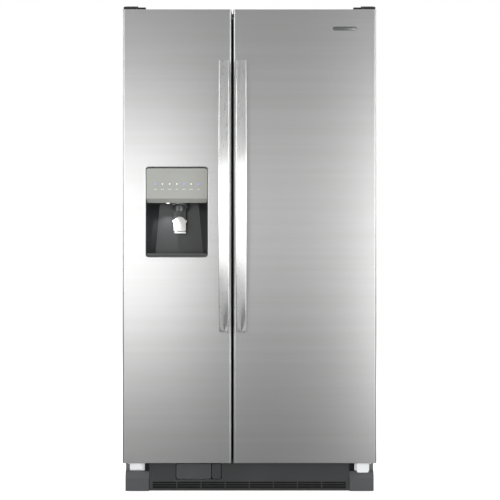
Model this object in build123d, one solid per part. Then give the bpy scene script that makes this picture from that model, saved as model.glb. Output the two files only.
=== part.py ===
from build123d import *
import os

# Side by side refrigerator. Millimetres, +X to the right, +Y to the back, +Z up.
# The origin is on the floor, under the middle of the overall box.

# Overall size
width = 908.0
height = 1775.0
depth = 847.0

# Doors
door_thickness = 62.0
door_bottom = 120.0
door_gap = 6.5
freezer_door_width = 389.5
top_gap = 3.0
skin = 1.0
door_corner = 7.0
liner_wall = 2.0
gasket_depth = 14.0
gasket_width = 16.0
gasket_inset = 14.0
running_gap = 0.3

# Handles: bowed bars on two posts
handle_reach = 60.0
handle_end_reach = 30.0
handle_length = 962.0
handle_drop = 188.0
handle_bar = 14.0
handle_end_width = 35.0
handle_mid_width = 40.0
handle_edge = 3.5
handle_offset = 26.0
post_height = 40.0

# Cabinet
side_reveal = 2.0
sheet = 1.5
cover_height = 30.0
rear_reach = 23.5
wrapper_bottom = 30.0
foam_bottom = 110.0
floor_wall = 50.0
roof_wall = 55.0
freezer_side_wall = 60.0
fridge_side_wall = 50.0
mullion = 60.0
back_wall = 60.0
machine_top = 330.0
machine_depth = 270.0
front_lip = 14.0

# Hinges
hinge_side_inset = 29.0
hinge_back_inset = 28.5
pin_radius = 6.0
pin_clearance = 0.35
pin_length = 22.0
hinge_plate = 4.0

# Door dams and bins
dam_depth = 45.0
dam_wall = 12.0
dam_hinge_inset = 41.0
dam_free_inset = 12.0
dam_end_inset = 10.0
bin_wall = 3.0
bin_hinge_inset = 61.0
bin_depth_behind_hinge = 100.0
bin_height = 95.0
fridge_bin_extra = 15.0
bin_floor_gap = 40.0
bin_roof_gap = 230.0
low_freezer_bins = 3
fridge_bin_count = 5
dairy_inset = 48.75
dairy_height = 106.0
dairy_roof_gap = 84.0
lid_sheet = 3.0

# Dispenser
niche_left = 81.5
niche_width = 225.0
niche_drop = 885.0
niche_height = 322.0
niche_wall = 3.0
niche_corner = 11.0
niche_top_taper = 38.0
niche_low_taper = 20.0
panel_rise = 194.0
panel_thickness = 16.0
panel_gap = 3.5
panel_recess = 1.5
panel_clearance = 2.0
bevel_height = 17.0
niche_roof_rise = 199.0
chute_radius = 30.0
chute_wall = 3.0
chute_rise = 165.0
chute_slant = 27.0
chute_throat_rise = 235.0
hopper_width = 82.0
hopper_length = 48.0
flap_play = 5.0
flap_rise = 225.0
flap_sheet = 2.5
flap_pin_back = 16.0
lever_gap = 27.0
lever_clearance = 5.5
lever_pivot_rise = 186.0
arm_width = 44.0
boss_radius = 4.0
lug = 6.0
paddle_width = 53.0
paddle_rise = 85.0
paddle_height = 62.0

# Shelves and drawers
shelf_setback = 87.5
glass = 5.0
fridge_shelf_count = 4
fridge_low_clearance = 90.0
fridge_top_clearance = 300.0
freezer_shelf_count = 3
freezer_low_clearance = 50.0
bucket_over_shelf = 110.0
bucket_over_door = 26.0
bucket_height = 190.0
bucket_back_gap = 62.0
evaporator_space = 86.0
track_width = 16.0
shelf_frame = 14.0
drawer_wall = 3.0
drawer_side_inset = 18.0
lower_drawer_back_gap = 18.0
upper_drawer_back_gap = 32.0
lower_drawer_height = 180.0
upper_drawer_height = 150.0
lower_drawer_gap = 12.0
upper_drawer_gap = 20.0
runner = 10.0
flange_setback = 60.0

# Base
grille_top = 118.0
grille_bottom = 5.0
cover_left_width = 87.0
cover_right_width = 89.0
cover_top = 76.0
cover_slope = 53.0
louvre_bottom = 14.0
louvre_top = 38.0
filter_inset = 98.0
filter_width = 127.5
filter_bottom = 48.0
filter_height = 56.0
filter_radius = 24.0
filter_length = 235.0
button_width = 33.5
button_gap = 2.2
rail_inset = 3.0
rail_width = 35.0
rail_top = 65.0
rail_bottom = 12.0
plate = 3.0
roller_radius = 20.0
roller_width = 20.0
roller_lift = 2.0
foot_radius = 13.0
leg_radius = 6.0
axle_radius = 4.0
deck_level = 40.0

# Machine compartment
compressor_radius = 78.0
compressor_height = 130.0
compressor_inset = 164.0
condenser_inset = 24.0
condenser_width = 200.0
condenser_height = 170.0
shroud_gap = 130.0
shroud_headroom = 30.0
fan_radius = 84.0
fan_ring = 8.0
fan_centre_z = 175.0
valve_z = 95.0
inlet_z = 86.0
slot_half = 62.0


def spread(first, last, count):
    """Evenly spaced levels from the first to the last."""
    return [first + number * (last - first) / (count - 1) for number in range(count)]


# Places worked out from the sizes above
half_width = width / 2
handle_face = -depth / 2
door_face = handle_face + handle_reach
door_back = door_face + door_thickness
cab_front = door_back + gasket_depth
rear = depth / 2
cab_back = rear - rear_reach
cab_half = half_width - side_reveal
cab_top = height - cover_height
door_top = cab_top - top_gap
freezer_left = -half_width
freezer_right = freezer_left + freezer_door_width
fridge_left = freezer_right + door_gap
fridge_right = half_width
split_x = (freezer_right + fridge_left) / 2
hinge_x = half_width - hinge_side_inset
hinge_y = door_back - hinge_back_inset
roof_z = cab_top - roof_wall
floor_z = foam_bottom + floor_wall
rear_wall_y = cab_back - back_wall
machine_front = cab_back - machine_depth
step_y = machine_front - floor_wall
step_z = machine_top + floor_wall
freezer_box = (-cab_half + freezer_side_wall, split_x - mullion / 2)
fridge_box = (split_x + mullion / 2, cab_half - fridge_side_wall)
dam_back = cab_front + dam_depth - gasket_depth
bin_back = hinge_y + bin_depth_behind_hinge
handle_bottom = door_top - handle_drop - handle_length
niche_x0 = freezer_left + niche_left
niche_x1 = niche_x0 + niche_width
niche_bottom = door_top - niche_drop
niche_top = niche_bottom + niche_height
panel_bottom = niche_bottom + panel_rise
niche_roof = niche_bottom + niche_roof_rise
chute_low = niche_bottom + chute_rise
chute_throat = niche_bottom + chute_throat_rise
flap_level = niche_bottom + flap_rise
flap_radius = chute_radius - chute_wall - flap_play
lever_pivot_level = niche_bottom + lever_pivot_rise
paddle_bottom = niche_bottom + paddle_rise
chute_x = niche_x0 + 117.0
chute_y = door_face + panel_recess + panel_thickness + panel_clearance + chute_radius
lever_y = chute_y + chute_radius + lever_clearance
niche_back = lever_y + lever_gap
bulge_back = niche_back + niche_wall + 12.0
bulge_top = niche_top + 15.0
hopper_y = niche_back + 1.0 - hopper_length / 2
shelf_front = cab_front + shelf_setback
cover_y = rear_wall_y - liner_wall - evaporator_space
bucket_level = bulge_top + bucket_over_door
bucket_back = cover_y - bucket_back_gap
maker_y = cover_y - 252.0
lower_drawer_level = floor_z + lower_drawer_gap
lower_drawer_depth = step_y - shelf_front - lower_drawer_back_gap
upper_drawer_level = step_z + upper_drawer_gap
upper_drawer_depth = cover_y - shelf_front - upper_drawer_back_gap
drawer_top = upper_drawer_level + upper_drawer_height
fridge_shelf_levels = spread(drawer_top + fridge_low_clearance, roof_z - fridge_top_clearance,
                             fridge_shelf_count)
freezer_shelf_levels = spread(drawer_top + freezer_low_clearance, bucket_level - bucket_over_shelf,
                              freezer_shelf_count)
fan_level = freezer_shelf_levels[-1] + 60.0
low_bin_level = floor_z + bin_floor_gap
bulge_bottom = niche_bottom - 18.0
dairy_top = roof_z - dairy_roof_gap
dairy_bottom = dairy_top - dairy_height
freezer_bin_levels = spread(low_bin_level, bulge_bottom, low_freezer_bins + 1)[:-1]
freezer_bin_levels.append(roof_z - bin_roof_gap)
fridge_bin_levels = spread(low_bin_level, dairy_bottom, fridge_bin_count + 1)[:-1]
rail_outer = cab_half - rail_inset
rail_inner = rail_outer - rail_width
grille_left = -cab_half + cover_left_width
grille_right = cab_half - cover_right_width
filter_left = grille_left + filter_inset
compressor_x = rail_inner - compressor_inset
condenser_left = -rail_inner + condenser_inset
condenser_right = condenser_left + condenser_width
shroud_x = condenser_right + shroud_gap
fan_y = machine_front + machine_depth / 2
deck_top = deck_level + plate
button_left = filter_left + filter_width + button_gap
cover_front = cab_front - 17.5
grille_front = cab_front - 12.5
rail_front = cab_front + 3.5
leg_x = rail_outer - rail_width / 2
leg_y = rail_front + 22.0
front_roller_y = leg_y + foot_radius + roller_radius + 6.0
rear_roller_y = cab_back - 50.0
valve_x = -cab_half + 68.0
inlet_x = cab_half - 57.0
filter_x = filter_left + filter_width / 2
filter_z = filter_bottom + filter_height / 2


def block(x0, x1, y0, y1, z0, z1):
    """A box between two corners."""
    size = (x1 - x0, y1 - y0, z1 - z0)
    centre = ((x0 + x1) / 2, (y0 + y1) / 2, (z0 + z1) / 2)
    return Pos(*centre) * Box(*size)


def rod(axis, x, y, z, radius, length):
    """A cylinder that starts at a point and runs along +axis."""
    turns = {"x": Rot(0, 90, 0), "y": Rot(-90, 0, 0), "z": Rot(0, 0, 0)}
    base = (Align.CENTER, Align.CENTER, Align.MIN)
    return Pos(x, y, z) * turns[axis] * Cylinder(radius, length, align=base)


def tray(x0, x1, y0, y1, z0, z1, wall):
    """A box that is open at the top."""
    outer = block(x0, x1, y0, y1, z0, z1)
    return outer - block(x0 + wall, x1 - wall, y0 + wall, y1 - wall, z0 + wall, z1 + wall)


def rounded_front(x0, x1, y0, y1, z0, z1, radius):
    """A box whose four front corners are rounded, seen from the front."""
    sketch = Pos((x0 + x1) / 2, (z0 + z1) / 2) * RectangleRounded(x1 - x0, z1 - z0, radius)
    return Pos(0, y1, 0) * Rot(90, 0, 0) * extrude(sketch, y1 - y0)


def mirrored(part):
    """The same part on the other side of the cabinet."""
    return mirror(part, about=Plane.YZ)


def join(parts):
    """Separate solids kept together in one node."""
    return Compound(children=list(parts))


def merge(parts):
    """Solids welded into one."""
    total = parts[0]
    for part in parts[1:]:
        total = total + part
    return total


# ---------------------------------------------------------------- cabinet

def outer_wrapper():
    """Folded steel sheet over the sides and roof, with a lip turned in at the front."""
    outer = block(-cab_half, cab_half, cab_front, cab_back - sheet, wrapper_bottom, cab_top)
    inner = block(-cab_half + sheet, cab_half - sheet, cab_front + sheet, cab_back,
                  wrapper_bottom - 1, cab_top - sheet)
    mouth = block(-cab_half + front_lip, cab_half - front_lip, cab_front - 1, cab_front + 2 * sheet,
                  wrapper_bottom - 1, cab_top - front_lip)
    return outer - inner - mouth


def back_panel():
    """Flat steel back, above the machine compartment."""
    return block(-cab_half, cab_half, cab_back - sheet, cab_back, machine_top, cab_top)


def compartment(box_x):
    """The space for one liner, with the step over the machine compartment at the back."""
    x0, x1 = box_x
    main = block(x0, x1, cab_front - 5, rear_wall_y, step_z, roof_z)
    low = block(x0, x1, cab_front - 5, step_y, floor_z, step_z + 1)
    return main + low


def insulation_foam():
    """Foam between the wrapper and the two liners."""
    body = block(-cab_half + sheet, cab_half - sheet, cab_front + sheet, cab_back - sheet,
                 foam_bottom, cab_top - sheet)
    body -= block(-cab_half, cab_half, machine_front, cab_back, 0, machine_top)
    return body - compartment(freezer_box) - compartment(fridge_box)


def liner(box_x, flange_x0, flange_x1):
    """Vacuum formed liner with a front flange that the gasket seals on."""
    tub = compartment(box_x) & block(-cab_half, cab_half, cab_front, cab_back, 0, height)
    flange = block(flange_x0, flange_x1, cab_front, cab_front + sheet,
                   foam_bottom, cab_top - front_lip)
    hollow = compartment((box_x[0] + liner_wall, box_x[1] - liner_wall))
    hollow = hollow & block(-cab_half, cab_half, cab_front - 5, rear_wall_y - liner_wall,
                            floor_z + liner_wall, roof_z - liner_wall)
    ledge = block(box_x[0], box_x[1], step_y - liner_wall, rear_wall_y, 0, step_z + liner_wall)
    return tub + flange - (hollow - ledge)


def freezer_liner():
    return liner(freezer_box, -cab_half + front_lip, split_x - 0.25)


def fridge_liner():
    return liner(fridge_box, split_x + 0.25, cab_half - front_lip)


def base_frame():
    """Two channel rails with a front member, a rear member and the compressor plate."""
    parts = []
    for side in (-1, 1):
        lo, hi = sorted((side * rail_inner, side * rail_outer))
        rail = block(lo, hi, rail_front, cab_back - 2, rail_bottom, rail_top)
        rail -= block(lo + plate, hi - plate, rail_front - 1, cab_back, 0, rail_top - plate)
        rail -= rod("z", side * leg_x, leg_y, 0, leg_radius + pin_clearance, rail_top + 5)
        post = block(*sorted((side * (rail_outer + 1.5), side * (rail_outer - plate))),
                     rail_front + plate, rail_front + 60, rail_top, foam_bottom)
        parts += [rail, post]
    member = block(-rail_outer, rail_outer, rail_front, rail_front + plate,
                   rail_top, foam_bottom)
    member += block(-rail_outer, rail_outer, rail_front, rail_front + 40,
                    foam_bottom - plate, foam_bottom)
    member -= block(filter_left - 3, button_left + button_width + 3, rail_front - 1,
                    rail_front + 5, 0, filter_bottom + filter_height + 1)
    deck = block(-rail_inner - 1, rail_inner + 1, machine_front + 2, cab_back - 2,
                 deck_level, deck_top)
    low_bar = block(-rail_inner - 1, rail_inner + 1, rail_front + 2, rail_front + 30,
                    deck_level + 2, deck_top + 2)
    return merge(parts + [member, deck, low_bar])


def roller_axles():
    """Riveted pins through the rail flanges."""
    pins = []
    for y, z in ((front_roller_y, roller_radius + roller_lift), (rear_roller_y, roller_radius)):
        pin = rod("x", rail_inner - 2, y, z, axle_radius, rail_width + 3)
        pins += [pin, mirrored(pin)]
    return pins


def roller(side, y, z):
    """Nylon roller on its pin."""
    x0 = leg_x - roller_width / 2
    wheel = rod("x", x0, y, z, roller_radius, roller_width)
    wheel = chamfer(wheel.edges().filter_by(GeomType.CIRCLE), 1.5)
    wheel -= rod("x", x0 - 1, y, z, axle_radius + pin_clearance, roller_width + 2)
    return wheel if side > 0 else mirrored(wheel)


def levelling_leg(side):
    """Threaded leg with a round foot."""
    leg = rod("z", side * leg_x, leg_y, 0, foot_radius, 9)
    leg = chamfer(leg.edges().group_by(Axis.Z)[0], 1.5)
    hexagon = Pos(side * leg_x, leg_y, 9) * extrude(RegularPolygon(10, 6), 8)
    return leg + hexagon + rod("z", side * leg_x, leg_y, 16, leg_radius, 74)


def base_grille():
    """Moulded kick plate: ribbed louvre slot at the bottom and the filter opening."""
    x0, x1 = grille_left, grille_right
    y0, y1 = grille_front, cab_front - 0.5
    wall = plate
    body = block(x0, x1, y0, y1, grille_bottom, grille_top)
    body = fillet(body.edges().group_by(Axis.Y)[0].filter_by(Axis.X), 2.5)
    body -= block(x0 + wall, x1 - wall, y0 + wall, y1 + 1, grille_bottom + wall, grille_top - wall)
    slot = block(x0 + 12, x1 - 12, y0 - 1, y0 + wall + 1, louvre_bottom, louvre_top)
    opening = rounded_front(filter_left - button_gap, button_left + button_width + button_gap,
                            y0 - 1, y0 + wall + 1, filter_bottom - button_gap,
                            filter_bottom + filter_height + button_gap, 8)
    body -= slot
    body -= opening
    parts = [body]
    count = 8
    pitch = (x1 - x0 - 24) / count
    for number in range(1, count):
        x = x0 + 12 + number * pitch
        parts.append(block(x - 2, x + 2, y0 + 1, y0 + wall, louvre_bottom - 1, louvre_top + 1))
    for level in (21, 30):
        parts.append(block(x0 + 11, x1 - 11, y0 + 1.2, y0 + wall, level, level + 2))
    for x in (x0 + 40, 0, x1 - 40):
        parts.append(block(x - 8, x + 8, y0 + wall - 0.5, rail_front, 72, 88))
    return merge(parts)


def corner_cover(x0, x1):
    """Moulded corner cover with a sloped top."""
    back = cab_front - 0.5
    wall = plate
    outline = [(cover_front, grille_bottom), (cover_front, cover_slope), (cover_front + 9, cover_top),
               (back, cover_top), (back, grille_bottom)]
    hollow = [(cover_front + wall, grille_bottom + wall), (cover_front + wall, cover_slope - 1),
              (cover_front + 8 + wall, cover_top - wall), (back + 1, cover_top - wall),
              (back + 1, grille_bottom + wall)]
    body = Pos(x0, 0, 0) * extrude(Plane.YZ * make_face(Polyline(*outline, close=True)), x1 - x0)
    body = chamfer(body.edges().filter_by(Axis.Z).group_by(Axis.Y)[0], 2)
    body -= Pos(x0 + wall, 0, 0) * extrude(Plane.YZ * make_face(Polyline(*hollow, close=True)),
                                           x1 - x0 - 2 * wall)
    return body + block((x0 + x1) / 2 - 10, (x0 + x1) / 2 + 10, back - 3, rail_front, 67, 74)


def corner_covers():
    left = corner_cover(-cab_half, grille_left - 0.5)
    right = corner_cover(grille_right + 0.5, cab_half)
    return join([left, right])


def lower_hinge(side):
    """Bracket on the front member with the pin that carries the door."""
    axis_x = side * hinge_x
    lo, hi = sorted((side * (hinge_x - 42), side * (hinge_x + 12)))
    top = door_bottom - 2
    back = cab_front - 0.5
    leaf = block(lo, hi, hinge_y - 16, back, top - hinge_plate, top)
    riser = block(lo, hi, back - hinge_plate, back, cover_top + 1, top)
    foot = block(lo, hi, back - 1, rail_front, cover_top + 1, foam_bottom - 1)
    drop = 22 if side < 0 else 34
    tab = rounded_front(*sorted((side * (hinge_x + 2), side * (hinge_x - 40))),
                        hinge_y - 20, hinge_y - 16, top - drop, top, 5)
    pin = rod("z", axis_x, hinge_y, top, pin_radius, pin_length)
    return merge([leaf, riser, foot, tab, pin])


def lower_hinges():
    return join([lower_hinge(-1), lower_hinge(1)])


def upper_hinge(side):
    """Plate screwed to the roof, with the pin that reaches down into the door."""
    axis_x = side * hinge_x
    arm = block(*sorted((side * (hinge_x - 13), side * (hinge_x + 15))),
                hinge_y - 14, cab_front + 90, cab_top, cab_top + hinge_plate)
    pad = block(*sorted((side * (hinge_x - 38), side * (hinge_x + 15))),
                cab_front + 28, cab_front + 90, cab_top, cab_top + hinge_plate)
    body = arm + pad
    for x_step, y_step in screw_steps():
        body -= rod("z", side * (hinge_x + x_step), cab_front + y_step, cab_top - 1, 3.2, 10)
    pin = rod("z", axis_x, hinge_y, cab_top - pin_length, pin_radius, pin_length + 1)
    return body + pin


def screw_steps():
    """Hinge screw places, from the hinge axis and from the cabinet front."""
    return [(4, 42), (4, 76), (-26, 42), (-26, 76)]


def upper_hinges():
    return join([upper_hinge(-1), upper_hinge(1)])


def hinge_screws():
    """Hex flange screws that hold both upper hinges."""
    screws = []
    for x_step, y_step in screw_steps():
        head_z = cab_top + hinge_plate
        x, y = hinge_x + x_step, cab_front + y_step
        screw = rod("z", x, y, head_z, 7, 1.5)
        screw += Pos(x, y, head_z + 1.5) * extrude(RegularPolygon(5, 6), 4)
        screw += rod("z", x, y, cab_top, 3, hinge_plate + 0.1)
        screws += [screw, mirrored(screw)]
    return join(screws)


def hinge_cover(side):
    """Plastic cover over the upper hinge, with a sloped front."""
    y0, y1 = hinge_y - 17, cab_front + 96
    z0, z1 = cab_top + 0.5, height
    outline = [(y0, z0), (y0, z0 + 9), (cab_front + 8, z1), (y1 - 12, z1), (y1, z1 - 12), (y1, z0)]
    sketch = Plane.YZ * make_face(Polyline(*outline, close=True))
    x0, x1 = hinge_x - 42, cab_half
    body = Pos(x0, 0, 0) * extrude(sketch, x1 - x0)
    notch = block(x0 - 1, hinge_x - 16, y0 - 1, cab_front + 22, z0 - 1, z1 + 1)
    body -= notch
    hollow = block(hinge_x - 13.5, x1 - 4, y0 + 2.5, y1 - 5, z0 - 1, z0 + 6)
    hollow += block(x0 + 3, x1 - 4, cab_front + 27, y1 - 5, z0 - 1, z1 - 13)
    body -= hollow
    return body if side > 0 else mirrored(body)


def hinge_covers():
    return join([hinge_cover(-1), hinge_cover(1)])


# ---------------------------------------------------------------- machine compartment

def compressor():
    """Welded steel pot on four feet."""
    x, y, z = compressor_x, fan_y + 5, deck_top + 14
    pot = rod("z", x, y, z, compressor_radius, compressor_height)
    pot = fillet(pot.edges().group_by(Axis.Z)[-1], 40)
    pot = fillet(pot.edges().group_by(Axis.Z)[0], 12)
    reach = compressor_radius + 17
    foot = block(x - reach, x + reach, y - 60, y + 60, z + 2, z + 5)
    parts = [pot, foot]
    for dx in (13 - reach, reach - 13):
        for dy in (-48, 48):
            parts.append(rod("z", x + dx, y + dy, deck_top, 11, z + 2.5 - deck_top))
    return merge(parts)


def condenser():
    """Finned tube block that stands on the deck."""
    x0, x1 = condenser_left, condenser_right
    y0, y1 = machine_front + 30, cab_back - 40
    z0 = deck_top + 30
    parts = []
    for number in range(10):
        y = y0 + number * (y1 - y0) / 9
        parts.append(block(x0, x1, y - 1, y + 1, z0, z0 + condenser_height))
    for level in (30, 85, 140):
        for x in (x0 + 40, x1 - 40):
            parts.append(rod("y", x, y0 - 8, z0 + level, 5, y1 - y0 + 16))
    for x in (x0 + 10, x1 - 20):
        parts.append(block(x, x + 10, y0 - 3, y1 + 3, z0 - 2, z0 + 4))
    return merge(parts)


def fan_shroud():
    """Plate between condenser and compressor with the fan opening and motor arm."""
    x, y, z = shroud_x, fan_y, fan_centre_z
    ring = fan_radius + fan_ring
    wall = block(x, x + 3, y - ring - 18, y + ring + 18, deck_top, machine_top - shroud_headroom)
    wall -= rod("x", x - 1, y, z, ring, 5)
    motor = rod("x", x + 28, y, z, 24, 34)
    arms = block(x, x + 36, y - 4, y + 4, z + ring + 1, z + ring + 13)
    arms += block(x + 28, x + 36, y - 4, y + 4, z + 18, z + ring + 13)
    return merge([wall, arms, motor])


def fan_rotor(blades, radius, hub, thick, axis):
    """Hub with flat pitched blades, turning about the given axis through the origin."""
    base = (Align.CENTER, Align.CENTER, Align.CENTER)
    total = Cylinder(hub, thick, align=base)
    for number in range(blades):
        blade = Box(radius - hub + 4, 2.0, thick * 1.05, align=base)
        blade = Pos((radius + hub - 4) / 2, 0, 0) * Rot(38, 0, 0) * blade
        total += Rot(0, 0, number * 360 / blades) * blade
    turn = {"x": Rot(0, 90, 0), "y": Rot(90, 0, 0)}[axis]
    return turn * total


def condenser_fan():
    return Pos(shroud_x + 12, fan_y, fan_centre_z) * fan_rotor(5, fan_radius, 22, 22, "x")


def drain_pan():
    """Tray under the condenser that catches defrost water."""
    return tray(condenser_left - 10, condenser_right + 15, machine_front + 20, cab_back - 38,
                deck_top, deck_top + 22, 2)


def machine_cover():
    """Perforated rear cover, screwed to the back of the frame."""
    y0, y1 = cab_back - sheet, cab_back
    body = block(-cab_half + 4, cab_half - 4, y0, y1, rail_bottom + 24, machine_top)
    for field in (condenser_left + condenser_width / 2, shroud_x, compressor_x - 40):
        for number in range(9):
            z = 90 + number * 22
            body -= block(field - slot_half, field + slot_half, y0 - 1, y1 + 1, z, z + 8)
    body -= block(valve_x - 27, valve_x + 27, y0 - 1, y1 + 1, valve_z - 35, valve_z + 35)
    body -= block(inlet_x - 27, inlet_x + 27, y0 - 1, y1 + 1, inlet_z - 20, inlet_z + 20)
    return body


def water_valve():
    """Inlet valve at the rear with a threaded tail."""
    x, z = valve_x, valve_z
    body = block(x - 25, x + 25, cab_back - 34, cab_back + 4, z - 32, z + 32)
    tail = rod("y", x, cab_back + 3, z, 10, rear - cab_back - 3)
    foot = block(x - 20, x + 20, cab_back - 34, cab_back - 8, deck_top, z - 31)
    return merge([body, tail, foot])


def power_inlet():
    """Plain three-blade appliance inlet in the rear cover."""
    x, z = inlet_x, inlet_z
    body = block(x - 26, x + 26, cab_back - 22, cab_back + 3, z - 18, z + 18)
    body -= block(x - 17, x + 17, cab_back - 15, cab_back + 4, z - 11, z + 11)
    blades = [block(x + dx - 1.5, x + dx + 1.5, cab_back - 16, cab_back - 1, z - 4, z + 4)
              for dx in (-9, 0, 9)]
    return merge([body] + blades)


# ---------------------------------------------------------------- water filter

def filter_housing():
    """Tube behind the kick plate that the cartridge pushes into."""
    y0 = rail_front + 46
    radius = filter_radius + 0.5
    body = rod("y", filter_x, y0, filter_z, radius + 3, filter_length - 30)
    body -= rod("y", filter_x, y0 - 1, filter_z, radius, filter_length - 38)
    foot = block(filter_x - 14, filter_x + 14, y0 + 20, y0 + 160, foam_bottom - 8, foam_bottom)
    foot -= rod("y", filter_x, y0, filter_z, radius + 2, filter_length)
    return body + foot


def filter_cartridge():
    """Cartridge with the cap that shows in the kick plate."""
    y0 = grille_front
    cap = rounded_front(filter_left, filter_left + filter_width, y0 - 1, y0 + 9,
                        filter_bottom, filter_bottom + filter_height, 8)
    cap = fillet(cap.edges().group_by(Axis.Y)[0], 1.5)
    body = rod("y", filter_x, y0 + 8, filter_z, filter_radius, filter_length)
    grip = block(filter_x - 40, filter_x + 40, y0 + 8, y0 + 14, filter_z - 20, filter_z + 20)
    return merge([cap, grip, body])


def eject_button():
    """Push button beside the filter cap, on a short stem."""
    y0 = grille_front
    key = rounded_front(button_left, button_left + button_width, y0, y0 + 9,
                        filter_bottom, filter_bottom + filter_height, 7)
    key = fillet(key.edges().group_by(Axis.Y)[0], 1.2)
    x = button_left + button_width / 2
    return key + rod("y", x, y0 + 8, filter_z, 6, 40)


# ---------------------------------------------------------------- compartments

def inner_x(box_x):
    return box_x[0] + liner_wall, box_x[1] - liner_wall


def fridge_shelves():
    """Glass shelves in plastic frames, on two brackets each."""
    x0, x1 = inner_x(fridge_box)
    shelves = []
    for level in fridge_shelf_levels:
        frame = block(x0 + 6, x1 - 6, shelf_front, rear_wall_y - 30, level - shelf_frame, level)
        frame -= block(x0 + 20, x1 - 20, shelf_front + 14, rear_wall_y - 44,
                       level - 15, level + 1)
        pane = block(x0 + 19, x1 - 19, shelf_front + 13, rear_wall_y - 43,
                     level - glass, level)
        shelves.append(frame + pane)
    return join(shelves + shelf_tracks())


def shelf_tracks():
    """Slotted steel tracks and brackets at the back of the fridge compartment."""
    x0, x1 = inner_x(fridge_box)
    back = rear_wall_y - liner_wall
    parts = []
    for x in (x0 + 40, x1 - 40):
        track = block(x - track_width / 2, x + track_width / 2, back - 12, back, fridge_shelf_levels[0] - 80,
                      fridge_shelf_levels[-1] + 60)
        for level in fridge_shelf_levels:
            arm = block(x - 2, x + 2, back - 150, back - 11, level - 34, level - shelf_frame)
            track += arm
        parts.append(track)
    return parts


def freezer_shelves():
    """Wire shelves with a front rail."""
    x0, x1 = inner_x(freezer_box)
    y1 = cover_y - 4
    shelves = []
    for level in freezer_shelf_levels:
        parts = [block(x0, x1, shelf_front, shelf_front + 8, level - 8, level + 8),
                 block(x0, x1, y1 - 8, y1, level - 4, level + 4),
                 block(x0, x0 + 6, shelf_front + 7, y1 - 7, level - 4, level + 4),
                 block(x1 - 6, x1, shelf_front + 7, y1 - 7, level - 4, level + 4)]
        count = 11
        for number in range(1, count):
            x = x0 + number * (x1 - x0) / count
            parts.append(block(x - 2, x + 2, shelf_front + 7, y1 - 7, level - 2, level + 2))
        shelves.append(merge(parts))
    return join(shelves)


def evaporator_cover():
    """Panel across the back of the freezer with the fan opening."""
    x0, x1 = inner_x(freezer_box)
    y = cover_y
    z0, z1 = step_z + liner_wall, roof_z - liner_wall
    body = block(x0, x1, y, y + 3, z0, z1)
    body -= rod("y", (x0 + x1) / 2, y - 1, fan_level, 55, 6)
    for number in range(4):
        body -= block(x0 + 50, x1 - 50, y - 1, y + 4, z0 + 40 + number * 18, z0 + 48 + number * 18)
    return body


def evaporator():
    """Finned coil behind the cover."""
    x0, x1 = inner_x(freezer_box)
    y0, y1 = cover_y + 20, cover_y + 76
    z0 = step_z + 120
    tall = fan_level - 250 - z0
    parts = []
    for number in range(12):
        x = x0 + 20 + number * (x1 - x0 - 40) / 11
        parts.append(block(x - 1, x + 1, y0, y1, z0, z0 + tall))
    for level in spread(30.0, tall - 30.0, 5):
        parts.append(rod("x", x0 + 8, (y0 + y1) / 2, z0 + level, 5, x1 - x0 - 16))
    for x in (x0, x1 - 10):
        parts.append(block(x, x + 10, (y0 + y1) / 2 - 8, (y0 + y1) / 2 + 8, z0 + 10, z0 + tall - 10))
    return merge(parts)


def fan_motor():
    """Motor and bracket of the freezer fan."""
    x0, x1 = inner_x(freezer_box)
    y = cover_y + 26
    bar = block(x0, x1, y + 26, y + 32, fan_level - 10, fan_level + 10)
    return bar + rod("y", (x0 + x1) / 2, y + 2, fan_level, 20, 28)


def evaporator_fan():
    x0, x1 = inner_x(freezer_box)
    return Pos((x0 + x1) / 2, cover_y + 12, fan_level) * fan_rotor(5, 50, 15, 16, "y")


def ice_maker():
    """Ice mould with its gear housing, hung from the top of the freezer."""
    x0, x1 = inner_x(freezer_box)
    roof = roof_z - liner_wall
    y = maker_y
    mould = tray(x0 + 30, x1 - 60, y - 60, y + 60, roof - 110, roof - 50, 4)
    housing = block(x1 - 61, x1 - 20, y - 70, y + 70, roof - 130, roof - 30)
    hangers = [block(x - 8, x + 8, y - 8, y + 8, roof - 107, roof) for x in (x0 + 50, x1 - 90)]
    return merge([mould, housing] + hangers)


def ice_maker_arm():
    """Wire arm that stops ice making when the bucket is full."""
    x0, x1 = inner_x(freezer_box)
    z = roof_z - liner_wall - 112
    y = maker_y - 74
    parts = [rod("x", x0 + 40, y, z, 2.5, x1 - x0 - 110),
             rod("z", x0 + 42.5, y, z - 60, 2.5, 60),
             rod("z", x1 - 72.5, y, z - 60, 2.5, 60),
             rod("x", x0 + 40, y, z - 60, 2.5, x1 - x0 - 110)]
    return merge(parts)


def ice_bucket():
    """Ice bin above the chute, with its outlet at the front."""
    x0, x1 = inner_x(freezer_box)
    z0 = bucket_level
    body = tray(x0 + 12, x1 - 12, shelf_front - 12, bucket_back, z0, z0 + bucket_height, 4)
    front = cab_front + 4
    spout = block(chute_x - 42, chute_x + 42, front, shelf_front - 11, z0, z0 + 90)
    spout -= block(chute_x - 38, chute_x + 38, front + 4, shelf_front - 7, z0 + 4, z0 + 86)
    spout -= block(chute_x - 38, chute_x + 38, front + 4, front + 30, z0 - 1, z0 + 5)
    body -= block(chute_x - 38, chute_x + 38, shelf_front - 13, shelf_front - 7, z0 + 4, z0 + 86)
    return body + spout


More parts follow.
